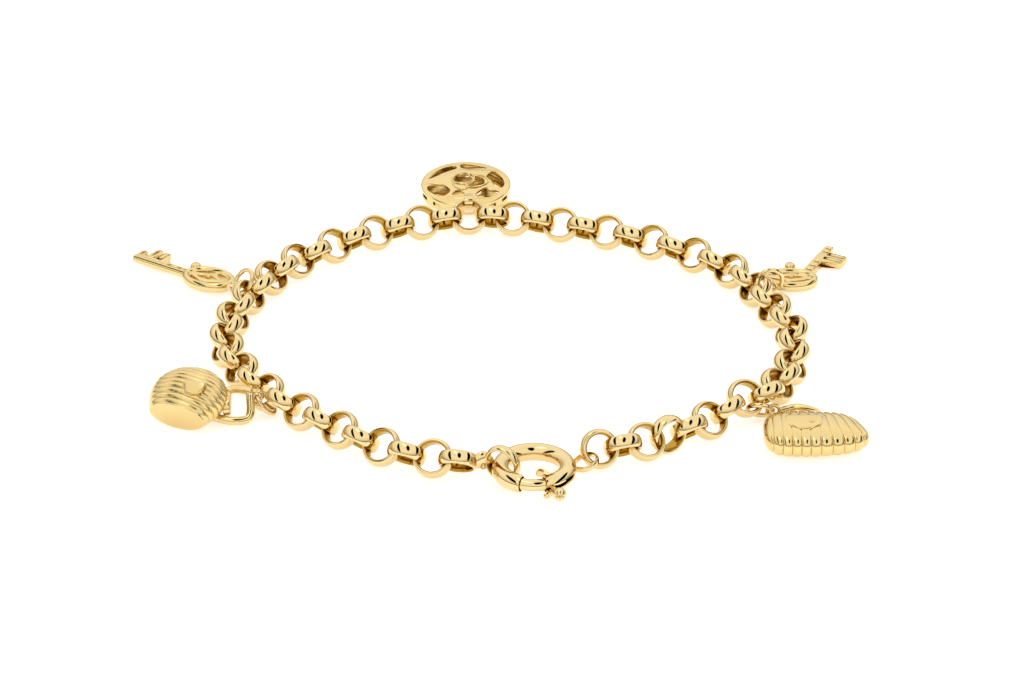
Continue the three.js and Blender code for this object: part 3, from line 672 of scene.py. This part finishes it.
RINGS = {
    "left_key": {"link": 44, "shift": (-0.55, 1.69, 1.06), "axis": (-0.678, -0.407, 0.612),
                 "toward": (-0.74, 0.35, -0.58)},
    "right_key": {"link": 18, "shift": (1.511, 0.167, 1.0), "axis": (-0.21, 0.977, 0.039),
                  "toward": (0.74, 0.19, -0.65)},
    "ribbed_bag": {"link": 53, "shift": (-0.11, -1.17, -0.59), "axis": (0.737, -0.029, 0.675),
                   "toward": (-0.67, -0.2, 0.72)},
    "pleated_bag": {"link": 7, "shift": (1.52, -0.5, -1.12), "axis": (0.114, 0.773, 0.624),
                    "toward": (0.99, -0.14, 0)},
}
SMALL_WIRE = 0.26
EYELET_RADIUS = 0.64
EYELET_WIRE = 0.2
EYELET_PLAY = 0.06


def ring_frame(charm):
    row = RINGS[charm]
    centre = route_point(row["link"]) + Vector(row["shift"])
    axis = Vector(row["axis"]).normalized()
    toward = Vector(row["toward"])
    toward = (toward - axis * toward.dot(axis)).normalized()
    return centre, axis, toward


def beside(charm, point):
    centre = ring_frame(charm)[0]
    return Vector((centre.x + point[0], centre.y + point[1], point[2]))


def eyelet(charm):
    """Eyelet of a charm, and the point where the charm's own body meets it."""
    centre, axis, toward = ring_frame(charm)
    middle = centre + toward * (size("small_ring") + EYELET_PLAY)
    ring = wire_ring(frame_xy(middle, toward, axis.cross(toward)), EYELET_RADIUS, EYELET_WIRE, 12, 36)
    return ring, middle + toward * EYELET_RADIUS


class BRACELET_OT_small_rings(bpy.types.Operator):
    """Builds the four round wire rings that hang the charms on the chain"""

    bl_idname = "bracelet.small_rings"
    bl_label = "Small rings"

    def execute(self, context):
        for charm in RINGS:
            centre, axis, toward = ring_frame(charm)
            ring = wire_ring(frame_xy(centre, toward, axis), size("small_ring"), SMALL_WIRE, 16, 56)
            piece(f"{charm}_wire_ring", {metal("buffed"): [ring]}, [f"{charm}_ring"])
        return {"FINISHED"}


# Keys

# Teeth: place from the tip, width, reach; recesses: places along the shank, and half sizes of each
KEY_LEFT = {
    "bow": (3.2, 2.25), "thickness": 1.15, "boss": (2.75, -1.6), "root": (2.7, 0), "turn": -6, "length": 7.6,
    "width": 1.15, "teeth": [(0.45, 0.9, 1.4), (1.75, 0.95, 2.5), (3.0, 0.95, 2.3)],
    "recesses": (0.5, 1.4, 2.8), "recess": (0.24, 0.17), "front_bar": True,
    "centre": (-4.11, 4.56, 0.98), "along": (-0.876, 0.482, -0.01),
}
KEY_RIGHT = {
    "bow": (3.1, 2.15), "thickness": 1.15, "boss": (0.2, 2.8), "root": (1.6, 0.9), "turn": 62, "length": 7.7,
    "width": 1.25, "teeth": [(2.0, 1.0, 2.7), (3.05, 0.9, 2.7)],
    "recesses": (1.2, 2.3, 3.4, 6.1, 7.0), "recess": (0.13, 0.36), "front_bar": False,
    "centre": (2.52, 4.3, 0.9), "along": (0.998, 0.03, -0.03),
}
# Half width of the bow's rim
RIM = 0.44
# The bow's plate inside its rim: how far its edge runs under the rim, share of the thickness, rounding
BOW_PLATE = {"inset": 0.2, "share": 0.6, "edge": 0.16}
BOW_BEAD = {"place": (0.1, 0.1), "height": 0.24, "radius": 0.3, "squash": (1.2, 0.8, 1)}
HANGER = {"sunk": 0.3, "widths": (0.42, 0.3, 0.24)}
# Shank: shares of its width and thickness, how far it starts under the bow's rim, rounding, corner cuts
SHANK = {"half": 0.45, "plate": 0.66, "start": -0.8, "edge": 0.14, "corner": 0.3}
# Floor below the recesses: thickness, rounding, height, and its outline as shares of the shank's
FLOOR = {"thickness": 0.25, "edge": 0.05, "height": 0.02, "shares": (0.99, 0.93)}
# Radius and height of the boss, from its top to its underside
BOSS = [(0.001, 0.62), (0.36, 0.6), (0.52, 0.52), (0.62, 0.34), (0.62, -0.4), (0.52, -0.56), (0.36, -0.62),
        (0.001, -0.62)]
# Half sizes of the left key's front bar, the second as a share of the thickness
FRONT_BAR = (0.37, 0.38)
# Leaf-shaped openings of the bow, for a bow of the size given first
LEAF_BOW = (3.2, 2.25)
BOW_LEAVES = [
    [(-2.35, -0.1), (-1.5, -0.95), (-0.5, -1.15), (-1.1, -0.45)],
    [(-0.1, -1.2), (1.1, -1.25), (2.35, -0.55), (1.0, -0.6)],
    [(-2.0, 0.6), (-1.1, 0.75), (0.1, 1.3), (-1.1, 1.25)],
    [(0.5, 1.25), (1.5, 0.65), (2.35, 0.4), (1.6, 1.15)],
    [(-0.95, 0.05), (0.2, -0.25), (1.35, 0.15), (0.2, 0.5)],
]


def key_shapes(charm, key):
    place = frame_xz(beside(charm, key["centre"]), key["along"], (0, 0, 1))
    half_length, half_width = key["bow"]
    stretch = (half_length / LEAF_BOW[0], half_width / LEAF_BOW[1])
    holes = [loop([(x * stretch[0], y * stretch[1]) for x, y in leaf]) for leaf in BOW_LEAVES]
    thick = key["thickness"]
    inset = BOW_PLATE["inset"]
    shapes = [pierced_plate(oval(half_length - inset, half_width - inset), holes, thick * BOW_PLATE["share"],
                            BOW_PLATE["edge"])]
    path = [Vector((x, y, 0)) for x, y in oval(half_length - RIM, half_width - RIM, 96)]
    shapes.append(closed_wire(path, RIM, tall=0.5 * thick, sides=20))
    boss = revolved(BOSS, 32, closed=False)
    shapes.append(placed(boss, frame_xy((*key["boss"], 0), (1, 0, 0), (0, 0, 1))))
    shapes.append(ball((*BOW_BEAD["place"], BOW_BEAD["height"] * thick), BOW_BEAD["radius"], BOW_BEAD["squash"]))
    turn = Matrix.Translation((*key["root"], 0)) @ Matrix.Rotation(math.radians(key["turn"]), 4, "Z")
    shank, floor = shank_shapes(key)
    shapes += [placed(shape, turn) for shape in shank]
    ring, end = eyelet(charm)
    hanger = neck(place @ Vector((HANGER["sunk"] - half_length, 0, 0)), end, HANGER["widths"])
    outside = [placed(shape, place) for shape in shapes] + [ring, hanger]
    # The floor seen through the shank's recesses takes the painted-shade amber finish
    return {metal("cast"): outside, metal("recess_painted_shade"): [placed(floor, place @ turn)]}


def shank_shapes(key):
    """Shank along X with teeth to one side and small recesses in its top, and the recesses' floor."""
    width, length, thick = key["width"], key["length"], key["thickness"]
    near, corner = SHANK["half"] * width, SHANK["corner"]
    outline = [(SHANK["start"], near), (SHANK["start"], -near)]
    holes = []
    for place, tooth, reach in sorted(key["teeth"], reverse=True):
        x, half = length - place, tooth / 2
        outline += [(x - half, -near), (x - half, corner - reach), (x - 0.6 * half, -reach),
                    (x + 0.6 * half, -reach), (x + half, corner - reach), (x + half, -near)]
        holes.append(oval(0.13, 0.27 * reach, 20, (x, -0.62 * reach)))
    outline += [(length, -0.7 * near), (length, 0.6 * near), (length - corner, near)]
    holes += [oval(*key["recess"], 20, (x, -0.1 * width)) for x in key["recesses"]]
    shapes = [pierced_plate(outline, holes, thick * SHANK["plate"], SHANK["edge"])]
    if key["front_bar"]:
        bar = [(x, 0.26 * width, 0.02) for x in np.linspace(-0.2, length - 0.2, 12)]
        shapes.append(swept(bar, [FRONT_BAR[0]] * 12, [FRONT_BAR[1] * thick] * 12, sides=28))
    inside = [(x * FLOOR["shares"][0], y * FLOOR["shares"][1]) for x, y in outline]
    floor = pierced_plate(inside, [], FLOOR["thickness"], FLOOR["edge"])
    return shapes, placed(floor, Matrix.Translation((0, 0, FLOOR["height"])))


class BRACELET_OT_keys(bpy.types.Operator):
    """Builds the two key charms with their pierced bows, bosses, shanks and teeth"""

    bl_idname = "bracelet.keys"
    bl_label = "Key charms"

    def execute(self, context):
        piece("left_key_charm", key_shapes("left_key", KEY_LEFT), ["left_key"])
        piece("right_key_charm", key_shapes("right_key", KEY_RIGHT), ["right_key"])
        return {"FINISHED"}


# Ribbed bag

RIBBED = {"centre": (-8.94, -3.53, 1.75), "up": (0.36, 0.84, 0.3), "across": (0.95, -0.32, 0.05),
          "half_width": 3.15, "height": 6.5, "depth": 0.57, "ribs": 10, "rib": 0.17}
# Share of the ribbed bag's height, share of its half width
RIBBED_SECTIONS = [(0, 1.0), (0.12, 1.13), (0.25, 1.24), (0.4, 1.31), (0.55, 1.29), (0.7, 1.18), (0.83, 0.96),
                   (0.93, 0.64), (1, 0.3)]
BASE_THICKNESS = 0.4
COLLAR = {"half": (1.5, 1.05), "thickness": 0.8, "centre": (-3.88, -1.25, 2.0), "across": (0, 1, 0.25),
          "out": (1, 0, 0.05)}
CLOSURE = {"thickness": 0.8, "centre": (-7.15, -2.72, 4.52), "across": (0.95, -0.32, 0.05),
           "out": (-0.05, -0.51, 0.86)}
CLOSURE_OUTLINE = [(-1.2, 0.3), (-0.7, 0.75), (0.9, 0.75), (1.2, 0.3), (0.8, -0.6), (0, -0.85), (-0.8, -0.6)]
# Straps and stays of the bags: points, shift at the eyelet, radius
RIBBED_STRAPS = [
    ([(-4.59, -0.23, 2.5), (-3.59, 0.17, 2.8), (-2.49, -0.03, 2.95)], (-0.1, 0, 0.05), 0.44),
    ([(-6.4, -2.2, 1.2), (-5.0, -2.55, 1.05), (-3.3, -3.0, 0.9), (-1.6, -2.5, 1.05)], (-0.2, -0.25, -0.15), 0.44),
]


def ribbed_body():
    """Rounded bag whose level ribs stand out with narrow grooves between them."""
    table_t = [row[0] for row in RIBBED_SECTIONS]
    table_r = [row[1] for row in RIBBED_SECTIONS]
    rows = []
    count = RIBBED["ribs"] * 12
    for i in range(count + 1):
        t = i / count
        wave = abs(math.sin(math.pi * RIBBED["ribs"] * t)) ** 0.7
        swell = RIBBED["rib"] * (wave - 0.7) * (0 if t > 0.985 else 1)
        radius = RIBBED["half_width"] * float(np.interp(t, table_t, table_r)) + swell
        rows.append([(radius * math.cos(a), t * RIBBED["height"], -radius * RIBBED["depth"] * math.sin(a))
                     for a in circle(80)])
    return grid(rows, wrap_columns=True, caps=True)


def straps(charm, end, rows, sides):
    """Round bars from a bag to its eyelet."""
    bars = []
    for points, shift, radius in rows:
        path = smooth_path([beside(charm, p) for p in points] + [end + Vector(shift)], 8)
        bars.append(swept(path, [radius] * len(path), sides=sides))
    return bars


def ribbed_shapes():
    charm, wide = "ribbed_bag", RIBBED["half_width"]
    place = frame_xy(beside(charm, RIBBED["centre"]), RIBBED["across"], RIBBED["up"])
    base = pierced_plate(oval(wide, wide * RIBBED["depth"]), [], BASE_THICKNESS, 0.06)
    shapes = [placed(base, place @ frame_xz((0, 0.1, 0), (1, 0, 0), (0, 1, 0)))]
    for row, outline, edge in ((COLLAR, oval(*COLLAR["half"]), 0.16), (CLOSURE, loop(CLOSURE_OUTLINE, 6), 0.14)):
        plate = pierced_plate(outline, [], row["thickness"], edge)
        shapes.append(placed(plate, frame_xz(beside(charm, row["centre"]), row["across"], row["out"])))
    ring, end = eyelet(charm)
    shapes += straps(charm, end, RIBBED_STRAPS, 20) + [ring]
    return {metal("satin"): [placed(ribbed_body(), place)], metal("cast"): shapes}


# Pleated bag

PLEATED = {"centre": (5.18, -5.3, 1.56), "half": (5.25, 3.5, 1.5), "pleats": 11, "pleat": 0.14}
# Lower values make the bag's section boxier
BOXY = 0.74
FLAP = {"middle": -1.0, "half_width": 1.95, "back": 1.25, "front": -1.6, "raised": 0.15, "sunk": 0.3}
MARK = {"place": (-0.28, -0.4), "radius": 0.2, "squash": (1.3, 0.8, 0.5)}
PLEATED_STRAPS = [
    ([(6.48, -2.8, 1.6), (5.68, -1.1, 1.75), (4.08, -0.1, 1.7), (2.98, -0.1, 1.55)], (0.1, 0, 0), 0.42),
    ([(1.98, -3.3, 1.6), (1.98, -2.3, 1.7), (2.08, -1.3, 1.5)], (0.05, -0.05, 0), 0.34),
]


def end_round(t):
    """Share of the bag's full section at a share of its half length."""
    return (1 - abs(t) ** 5) ** 0.45


def pleated_body():
    """Soft clutch shape with rounded pleats and narrow folds between them."""
    half_length, half_depth, half_height = PLEATED["half"]
    count = PLEATED["pleats"] * 14
    rows = []
    for i in range(count + 1):
        t = -0.985 + 1.97 * i / count
        taper = 1 - 0.16 * max(0, t)
        wave = abs(math.sin(math.pi * PLEATED["pleats"] * i / count)) ** 0.5
        share = max(0.25, end_round(t) * taper + PLEATED["pleat"] * (wave - 0.8) * 0.42)
        row = []
        for a in circle(72):
            x = half_length * t
            y = half_depth * share * math.copysign(abs(math.cos(a)) ** BOXY, math.cos(a))
            z = half_height * share * math.copysign(abs(math.sin(a)) ** BOXY, math.sin(a))
            far = max(0, x / half_length)
            row.append((x - 0.42 * far * y, y + 0.7 * far * far, z))
        rows.append(row)
    return grid(rows, wrap_columns=True, caps=True)


def bag_top(x, y):
    """Height of the bag's upper side over its middle, without the pleats."""
    half_length, half_depth, half_height = PLEATED["half"]
    share = end_round(x / half_length)
    across = min(abs(y) / (half_depth * share), 1)
    return half_height * share * (1 - across ** (2 / BOXY)) ** (BOXY / 2)


def flap_shape():
    """Round-cornered flap that lies on the bag's curve, with soft edges."""
    rows = []
    for v in np.linspace(0, 1, 22):
        y = FLAP["back"] + (FLAP["front"] - FLAP["back"]) * v
        wide = FLAP["half_width"] * max(0.02, 1 - v ** 3.2) ** 0.5 * (1 - 0.12 * max(0, 1 - v / 0.12) ** 2)
        edge = min(1, 12 * min(v, 1 - v) + 0.2)
        row = []
        for u in np.linspace(-1, 1, 26):
            x = FLAP["middle"] + wide * u
            row.append((x, y, bag_top(x, y) + FLAP["raised"] * edge * (1 - u ** 12)))
        for u in (1, 0.5, -0.5, -1):
            x = FLAP["middle"] + wide * u
            row.append((x, y, bag_top(x, y) - FLAP["sunk"]))
        rows.append(row)
    return grid(rows, wrap_columns=True, caps=True)


def pleated_shapes():
    charm = "pleated_bag"
    centre = beside(charm, PLEATED["centre"])
    mark = ball((*MARK["place"], bag_top(*MARK["place"]) + FLAP["raised"]), MARK["radius"], MARK["squash"])
    shapes = [placed(shape, Matrix.Translation(centre)) for shape in (pleated_body(), flap_shape(), mark)]
    ring, end = eyelet(charm)
    return shapes + straps(charm, end, PLEATED_STRAPS, 18) + [ring]


class BRACELET_OT_bags(bpy.types.Operator):
    """Builds the two bag charms: one with level ribs, one with pleats and a flap"""

    bl_idname = "bracelet.bags"
    bl_label = "Bag charms"

    def execute(self, context):
        piece("ribbed_bag_charm", ribbed_shapes(), ["ribbed_bag"], crease=50)
        piece("pleated_bag_charm", {metal("cast"): pleated_shapes()}, ["pleated_bag"], crease=50)
        return {"FINISHED"}


# Medallion

HOOK_LINK = 32
# The lower face's openings are smaller, as a share of the upper ones
DISC = {"radius": 5.15, "thickness": 1.6, "wall": 0.34, "shift": (-0.4, 9.25), "height": 1.25, "tilt": 4,
        "puff": 0.3, "lower_openings": 0.62, "face_inset": 0.2, "face_edge": 0.12}
# Half width of the rounded edge of each face
DISC_RIM = 0.28
WINDOW = {"width": 1.1, "half_height": 0.25}
WINDOW_ANGLES = (205, 230, 306, 330)
DISC_OPENINGS = [
    [(-4.3, 0.9), (-3.4, 2.6), (-2.2, 3.7), (-1.3, 3.8), (-1.2, 3.1), (-2.2, 2.4), (-3.3, 1.5)],
    [(-0.5, 3.3), (-0.6, 4.2), (0.2, 4.3), (2.4, 3.4), (1.4, 3.2), (0.3, 3.0)],
    [(2.4, 1.3), (3.1, 2.6), (4.0, 1.5), (4.4, 0.0), (4.1, -1.1), (3.4, -0.9), (2.9, 0.4)],
    [(-4.4, -1.0), (-3.6, -0.5), (-2.4, -0.9), (-1.8, -2.0), (-2.4, -3.0), (-3.2, -2.9), (-4.1, -2.0)],
    [(-1.4, 0.4), (-0.9, 1.4), (0.4, 1.6), (0.7, 0.6), (-0.2, -0.6), (-1.1, -0.5)],
    [(0.9, 1.3), (2.0, 0.7), (2.0, -0.8), (1.1, -1.6), (0.2, -1.3), (1.1, 0.2)],
    [(-1.5, -2.9), (-0.9, -1.9), (-0.2, -2.7)],
    [(2.3, -1.3), (2.7, -1.9), (3.8, -2.0), (3.1, -3.1), (1.6, -3.4), (1.2, -2.7)],
]
# Raised outlines of overlapping petals in the middle of the face, and half sizes of their wire
PETAL_WIRE = (0.11, 0.13)
PETALS = [
    [(-1.6, 0.2), (-0.9, 1.55), (0.5, 1.75), (0.95, 0.5), (-0.2, -0.75)],
    [(0.3, 1.55), (1.9, 1.2), (2.6, 0.0), (1.7, -1.1), (0.1, -1.35), (0.9, 0.1)],
    [(-1.5, -0.7), (-0.3, -0.5), (0.2, -1.5), (-0.6, -1.9)],
]
LOOP = {"half_height": 1.05, "wire": 0.34, "band": 1.0, "start": (-0.05, 4.5, 1.3), "rise": 1.27, "past": 1.3,
        "sunk": 0.45}


def disc_shapes():
    """Outside of the pierced disc, and its lower face, which shows as a floor behind the openings."""
    radius, thick, wall = DISC["radius"], DISC["thickness"], DISC["wall"]
    holes = [loop(points, 6) for points in DISC_OPENINGS]
    narrow = [shrunk(hole, DISC["lower_openings"]) for hole in holes]
    shapes = []
    for side, cuts in ((1, holes), (-1, narrow)):
        inner, middle = radius - DISC["face_inset"], radius - DISC_RIM
        face = pierced_plate(oval(inner, inner, 120), cuts, wall, DISC["face_edge"])
        shapes.append(placed(face, Matrix.Translation((0, 0, side * (thick - wall) / 2))))
        path = [Vector((x, y, side * (thick / 2 - 0.27))) for x, y in oval(middle, middle, 120)]
        shapes.append(closed_wire(path, DISC_RIM, sides=18))
    for petal in PETALS:
        path = [Vector((x, y, thick / 2)) for x, y in loop(petal, 8)]
        shapes.append(closed_wire(path, PETAL_WIRE[0], tall=PETAL_WIRE[1]))
    shapes += wall_shapes(radius, thick, wall)
    shapes = [puffed(shape, radius, thick / 2) for shape in shapes]
    hook = route_point(HOOK_LINK)
    place = Matrix.Translation((hook.x + DISC["shift"][0], hook.y + DISC["shift"][1], DISC["height"]))
    place = place @ Matrix.Rotation(math.radians(DISC["tilt"]), 4, "X")
    shapes = [placed(shape, place) for shape in shapes]
    return shapes[:2] + shapes[3:], shapes[2:3]


def shrunk(outline, share):
    middle = np.mean(outline, axis=0)
    return [tuple(middle + share * (np.array(point) - middle)) for point in outline]


def puffed(shape, radius, half):
    """Lowers the upper half towards the edge, so that the face swells softly in its middle."""
    verts, faces = shape
    return [(x, y, z - DISC["puff"] * (math.hypot(x, y) / radius) ** 3 * max(z, 0) / half)
            for x, y, z in verts], faces


def wall_shapes(radius, thick, wall):
    """Wall between the two faces in arcs, with the windows left open between them."""
    half, inner = thick / 2 - 0.15, radius - wall
    window = math.degrees(WINDOW["width"] / radius)
    edges = sorted(WINDOW_ANGLES)
    arcs = []
    for i, angle in enumerate(edges):
        start = angle + window / 2
        end = edges[(i + 1) % len(edges)] - window / 2 + (360 if i == len(edges) - 1 else 0)
        arcs.append((-half, half, start, end, max(4, int((end - start) / 4))))
    for angle in edges:
        for low, high in ((-half, -WINDOW["half_height"]), (WINDOW["half_height"], half)):
            arcs.append((low, high, angle - window / 2, angle + window / 2, 4))
    shapes = []
    for low, high, start, end, steps in arcs:
        profile = [(radius, low), (radius, high), (inner, high), (inner, low)]
        arc = revolved(profile, steps, math.radians(start), math.radians(end))
        shapes.append(placed(arc, frame_xy((0, 0, 0), (1, 0, 0), (0, 0, -1))))
    return shapes


def loop_shape():
    """Wide flat loop from the medallion's edge round one chain link."""
    link = route_point(HOOK_LINK)
    edge = Vector((link.x + LOOP["start"][0], link.y + LOOP["start"][1], LOOP["start"][2]))
    long = link + Vector((0, LOOP["rise"], LOOP["rise"])) - edge
    length = long.length + LOOP["past"] + LOOP["sunk"]
    tall, wire = LOOP["half_height"], LOOP["wire"]
    hole = oval(length / 2 - wire, tall - wire, 48)
    plate = pierced_plate(oval(length / 2, tall, 48), [hole], LOOP["band"], 0.1)
    middle = edge + long.normalized() * (length / 2 - LOOP["sunk"])
    return placed(plate, frame_xz(middle, long, (1, 0.03, 0)))


class BRACELET_OT_medallion(bpy.types.Operator):
    """Builds the pierced medallion and the loop that hangs it on the chain"""

    bl_idname = "bracelet.medallion"
    bl_label = "Medallion"

    def execute(self, context):
        outside, floor = disc_shapes()
        # The lower face, seen as a floor through the openings, takes the painted-shade amber finish
        piece("pierced_medallion", {metal("cast"): outside + [loop_shape()], metal("recess_painted_shade"): floor},
              ["medallion"])
        return {"FINISHED"}


# Stage: plain table, white room with three small dark gaps, soft light, camera

CAMERA = {"height_angle": 28, "distance": 420.0, "scale": 9.34, "image_width": 1024}
# Narrow dark gaps between the studio's light panels: direction, half width and half length in degrees
DARK_GAPS = [((-0.71, -0.245, 0.66), 7.5, 36), ((0.14, -0.46, 0.87), 9, 22), ((0.87, -0.07, 0.49), 9, 34)]
GAP_LENGTH_WAY = (0, 0.88, 0.47)
# Brightness of the studio by height over the horizon
ROOM_STEPS = [(0.0, 0.16), (0.12, 0.42), (0.3, 0.9), (0.6, 1.08), (1.0, 1.0)]
# Table and lamp in metres: the table lies just below the part
TABLE = {"half": 0.6, "height": -0.00002}
LAMP = {"size": (0.2, 0.1), "watts": 0.07, "place": (-0.09, -0.03, 0.45)}
SENSOR_MM = 36


def table_finish():
    """Matt white acrylic sheet, evenly lit from above."""
    made = bpy.data.materials.new("matt white acrylic")
    tree = empty_tree(made)
    place = node(tree, "ShaderNodeTexCoord")
    grain = node(tree, "ShaderNodeTexNoise", sockets={"Scale": 1 / (0.4 * MM)},
                 links={"Vector": place.outputs["Object"]})
    gloss = node(tree, "ShaderNodeMapRange", sockets={"To Min": 0.75, "To Max": 0.9},
                 links={"Value": grain.outputs["Fac"]})
    colour = tuple(bpy.context.scene.bracelet_looks.table) + (1.0,)
    shader = node(tree, "ShaderNodeBsdfPrincipled",
                  sockets={"Base Color": colour, "Specular IOR Level": 0.2,
                           "Emission Color": linear("#FFFFFF"), "Emission Strength": 0.5},
                  links={"Roughness": gloss.outputs["Result"]})
    node(tree, "ShaderNodeOutputMaterial", links={"Surface": shader.outputs["BSDF"]})
    return made


def room():
    """White studio: brighter overhead, greyer near the horizon, with small dark gaps between the lights."""
    world = bpy.data.worlds.new("white studio")
    bpy.context.scene.world = world
    tree = empty_tree(world)
    way = node(tree, "ShaderNodeTexCoord").outputs["Generated"]
    split = node(tree, "ShaderNodeSeparateXYZ", links={"Vector": way})
    ramp = node(tree, "ShaderNodeValToRGB", links={"Fac": split.outputs["Z"]})
    stops = ramp.color_ramp.elements
    for i, (height, brightness) in enumerate(ROOM_STEPS):
        stop = stops[0] if i == 0 else stops[-1] if i == len(ROOM_STEPS) - 1 else stops.new(height)
        stop.position, stop.color = height, (brightness, brightness, brightness, 1)
    light = ramp.outputs["Color"]
    for direction, half_width, half_length in DARK_GAPS:
        middle = Vector(direction).normalized()
        along = Vector(GAP_LENGTH_WAY)
        along = (along - middle * along.dot(middle)).normalized()
        turn = Matrix((along.cross(middle), along, middle)).transposed().to_euler()
        reaches = (math.sin(math.radians(half_width)), math.sin(math.radians(half_length)), 1)
        local = node(tree, "ShaderNodeMapping", {"vector_type": "TEXTURE"},
                     {"Rotation": tuple(turn), "Scale": reaches}, {"Vector": way})
        flat = node(tree, "ShaderNodeVectorMath", {"operation": "MULTIPLY"}, {1: (1, 1, 0)},
                    {0: local.outputs["Vector"]})
        reach = node(tree, "ShaderNodeVectorMath", {"operation": "LENGTH"}, None, {0: flat.outputs["Vector"]})
        edge = node(tree, "ShaderNodeMapRange",
                    sockets={"From Min": 0.95, "From Max": 1.08, "To Min": 0.0, "To Max": 1.0},
                    links={"Value": reach.outputs["Value"]})
        light = node(tree, "ShaderNodeVectorMath", {"operation": "SCALE"}, None,
                     {0: light, "Scale": edge.outputs["Result"]}).outputs["Vector"]
    strength = bpy.context.scene.bracelet_looks.light
    background = node(tree, "ShaderNodeBackground", sockets={"Strength": strength}, links={"Color": light})
    node(tree, "ShaderNodeOutputWorld", links={"Surface": background.outputs["Background"]})


class BRACELET_OT_stage(bpy.types.Operator):
    """Builds the table, the white studio, one soft light and the camera"""

    bl_idname = "bracelet.stage"
    bl_label = "Studio"

    def execute(self, context):
        scene = context.scene
        half = TABLE["half"]
        corners = [(x * half, y * half, TABLE["height"]) for x, y in ((-1, -1), (1, -1), (1, 1), (-1, 1))]
        mesh = bpy.data.meshes.new("studio table")
        mesh.from_pydata(corners, [], [[0, 1, 2, 3]])
        mesh.materials.append(table_finish())
        table = shown("studio_table", mesh)
        room()
        lamp = bpy.data.lights.new("soft overhead light", "AREA")
        lamp.shape = "RECTANGLE"
        lamp.size, lamp.size_y = LAMP["size"]
        lamp.energy = LAMP["watts"]
        lamp_object = shown("soft_overhead_light", lamp)
        lamp_object.location = LAMP["place"]
        lamp_object.rotation_euler = (-Vector(LAMP["place"])).to_track_quat("-Z", "Y").to_euler()
        tilt = math.radians(CAMERA["height_angle"])
        aim = TABLE_SHIFT * MM
        back = Vector((0, -math.cos(tilt), math.sin(tilt)))
        camera = bpy.data.cameras.new("photo camera")
        camera.sensor_width = SENSOR_MM
        camera.lens = SENSOR_MM * CAMERA["scale"] * CAMERA["distance"] / CAMERA["image_width"]
        camera.clip_start, camera.clip_end = 0.01, 10
        camera_object = shown("photo_camera", camera)
        camera_object.location = aim + back * CAMERA["distance"] * MM
        camera_object.rotation_euler = (-back).to_track_quat("-Z", "Y").to_euler()
        scene.camera = camera_object
        scene.view_settings.view_transform = "Standard"
        scene.view_settings.look = "None"
        return {"FINISHED"}


class BRACELET_PT_panel(bpy.types.Panel):
    """Bracelet pieces and settings"""

    bl_idname = "BRACELET_PT_panel"
    bl_label = "Gold Charm Bracelet"
    bl_space_type = "VIEW_3D"
    bl_region_type = "UI"
    bl_category = "Bracelet"

    def draw(self, context):
        for group in (context.scene.bracelet_sizes, context.scene.bracelet_looks):
            for name in group.__annotations__:
                self.layout.prop(group, name)
        for step in STEPS:
            self.layout.operator(step.bl_idname)


STEPS = [
    BRACELET_OT_stage,
    BRACELET_OT_chain,
    BRACELET_OT_clasp,
    BRACELET_OT_connector,
    BRACELET_OT_small_rings,
    BRACELET_OT_keys,
    BRACELET_OT_bags,
    BRACELET_OT_medallion,
]
CLASSES = [BraceletSizes, BraceletLooks, *STEPS, BRACELET_PT_panel]


def register():
    for item in CLASSES:
        bpy.utils.register_class(item)
    bpy.types.Scene.bracelet_sizes = bpy.props.PointerProperty(type=BraceletSizes)
    bpy.types.Scene.bracelet_looks = bpy.props.PointerProperty(type=BraceletLooks)


def unregister():
    del bpy.types.Scene.bracelet_looks
    del bpy.types.Scene.bracelet_sizes
    for item in reversed(CLASSES):
        bpy.utils.unregister_class(item)


def main():
    register()
    for step in STEPS:
        group, name = step.bl_idname.split(".")
        getattr(getattr(bpy.ops, group), name)()
    bpy.context.view_layer.update()


if __name__ == "__main__":
    main()
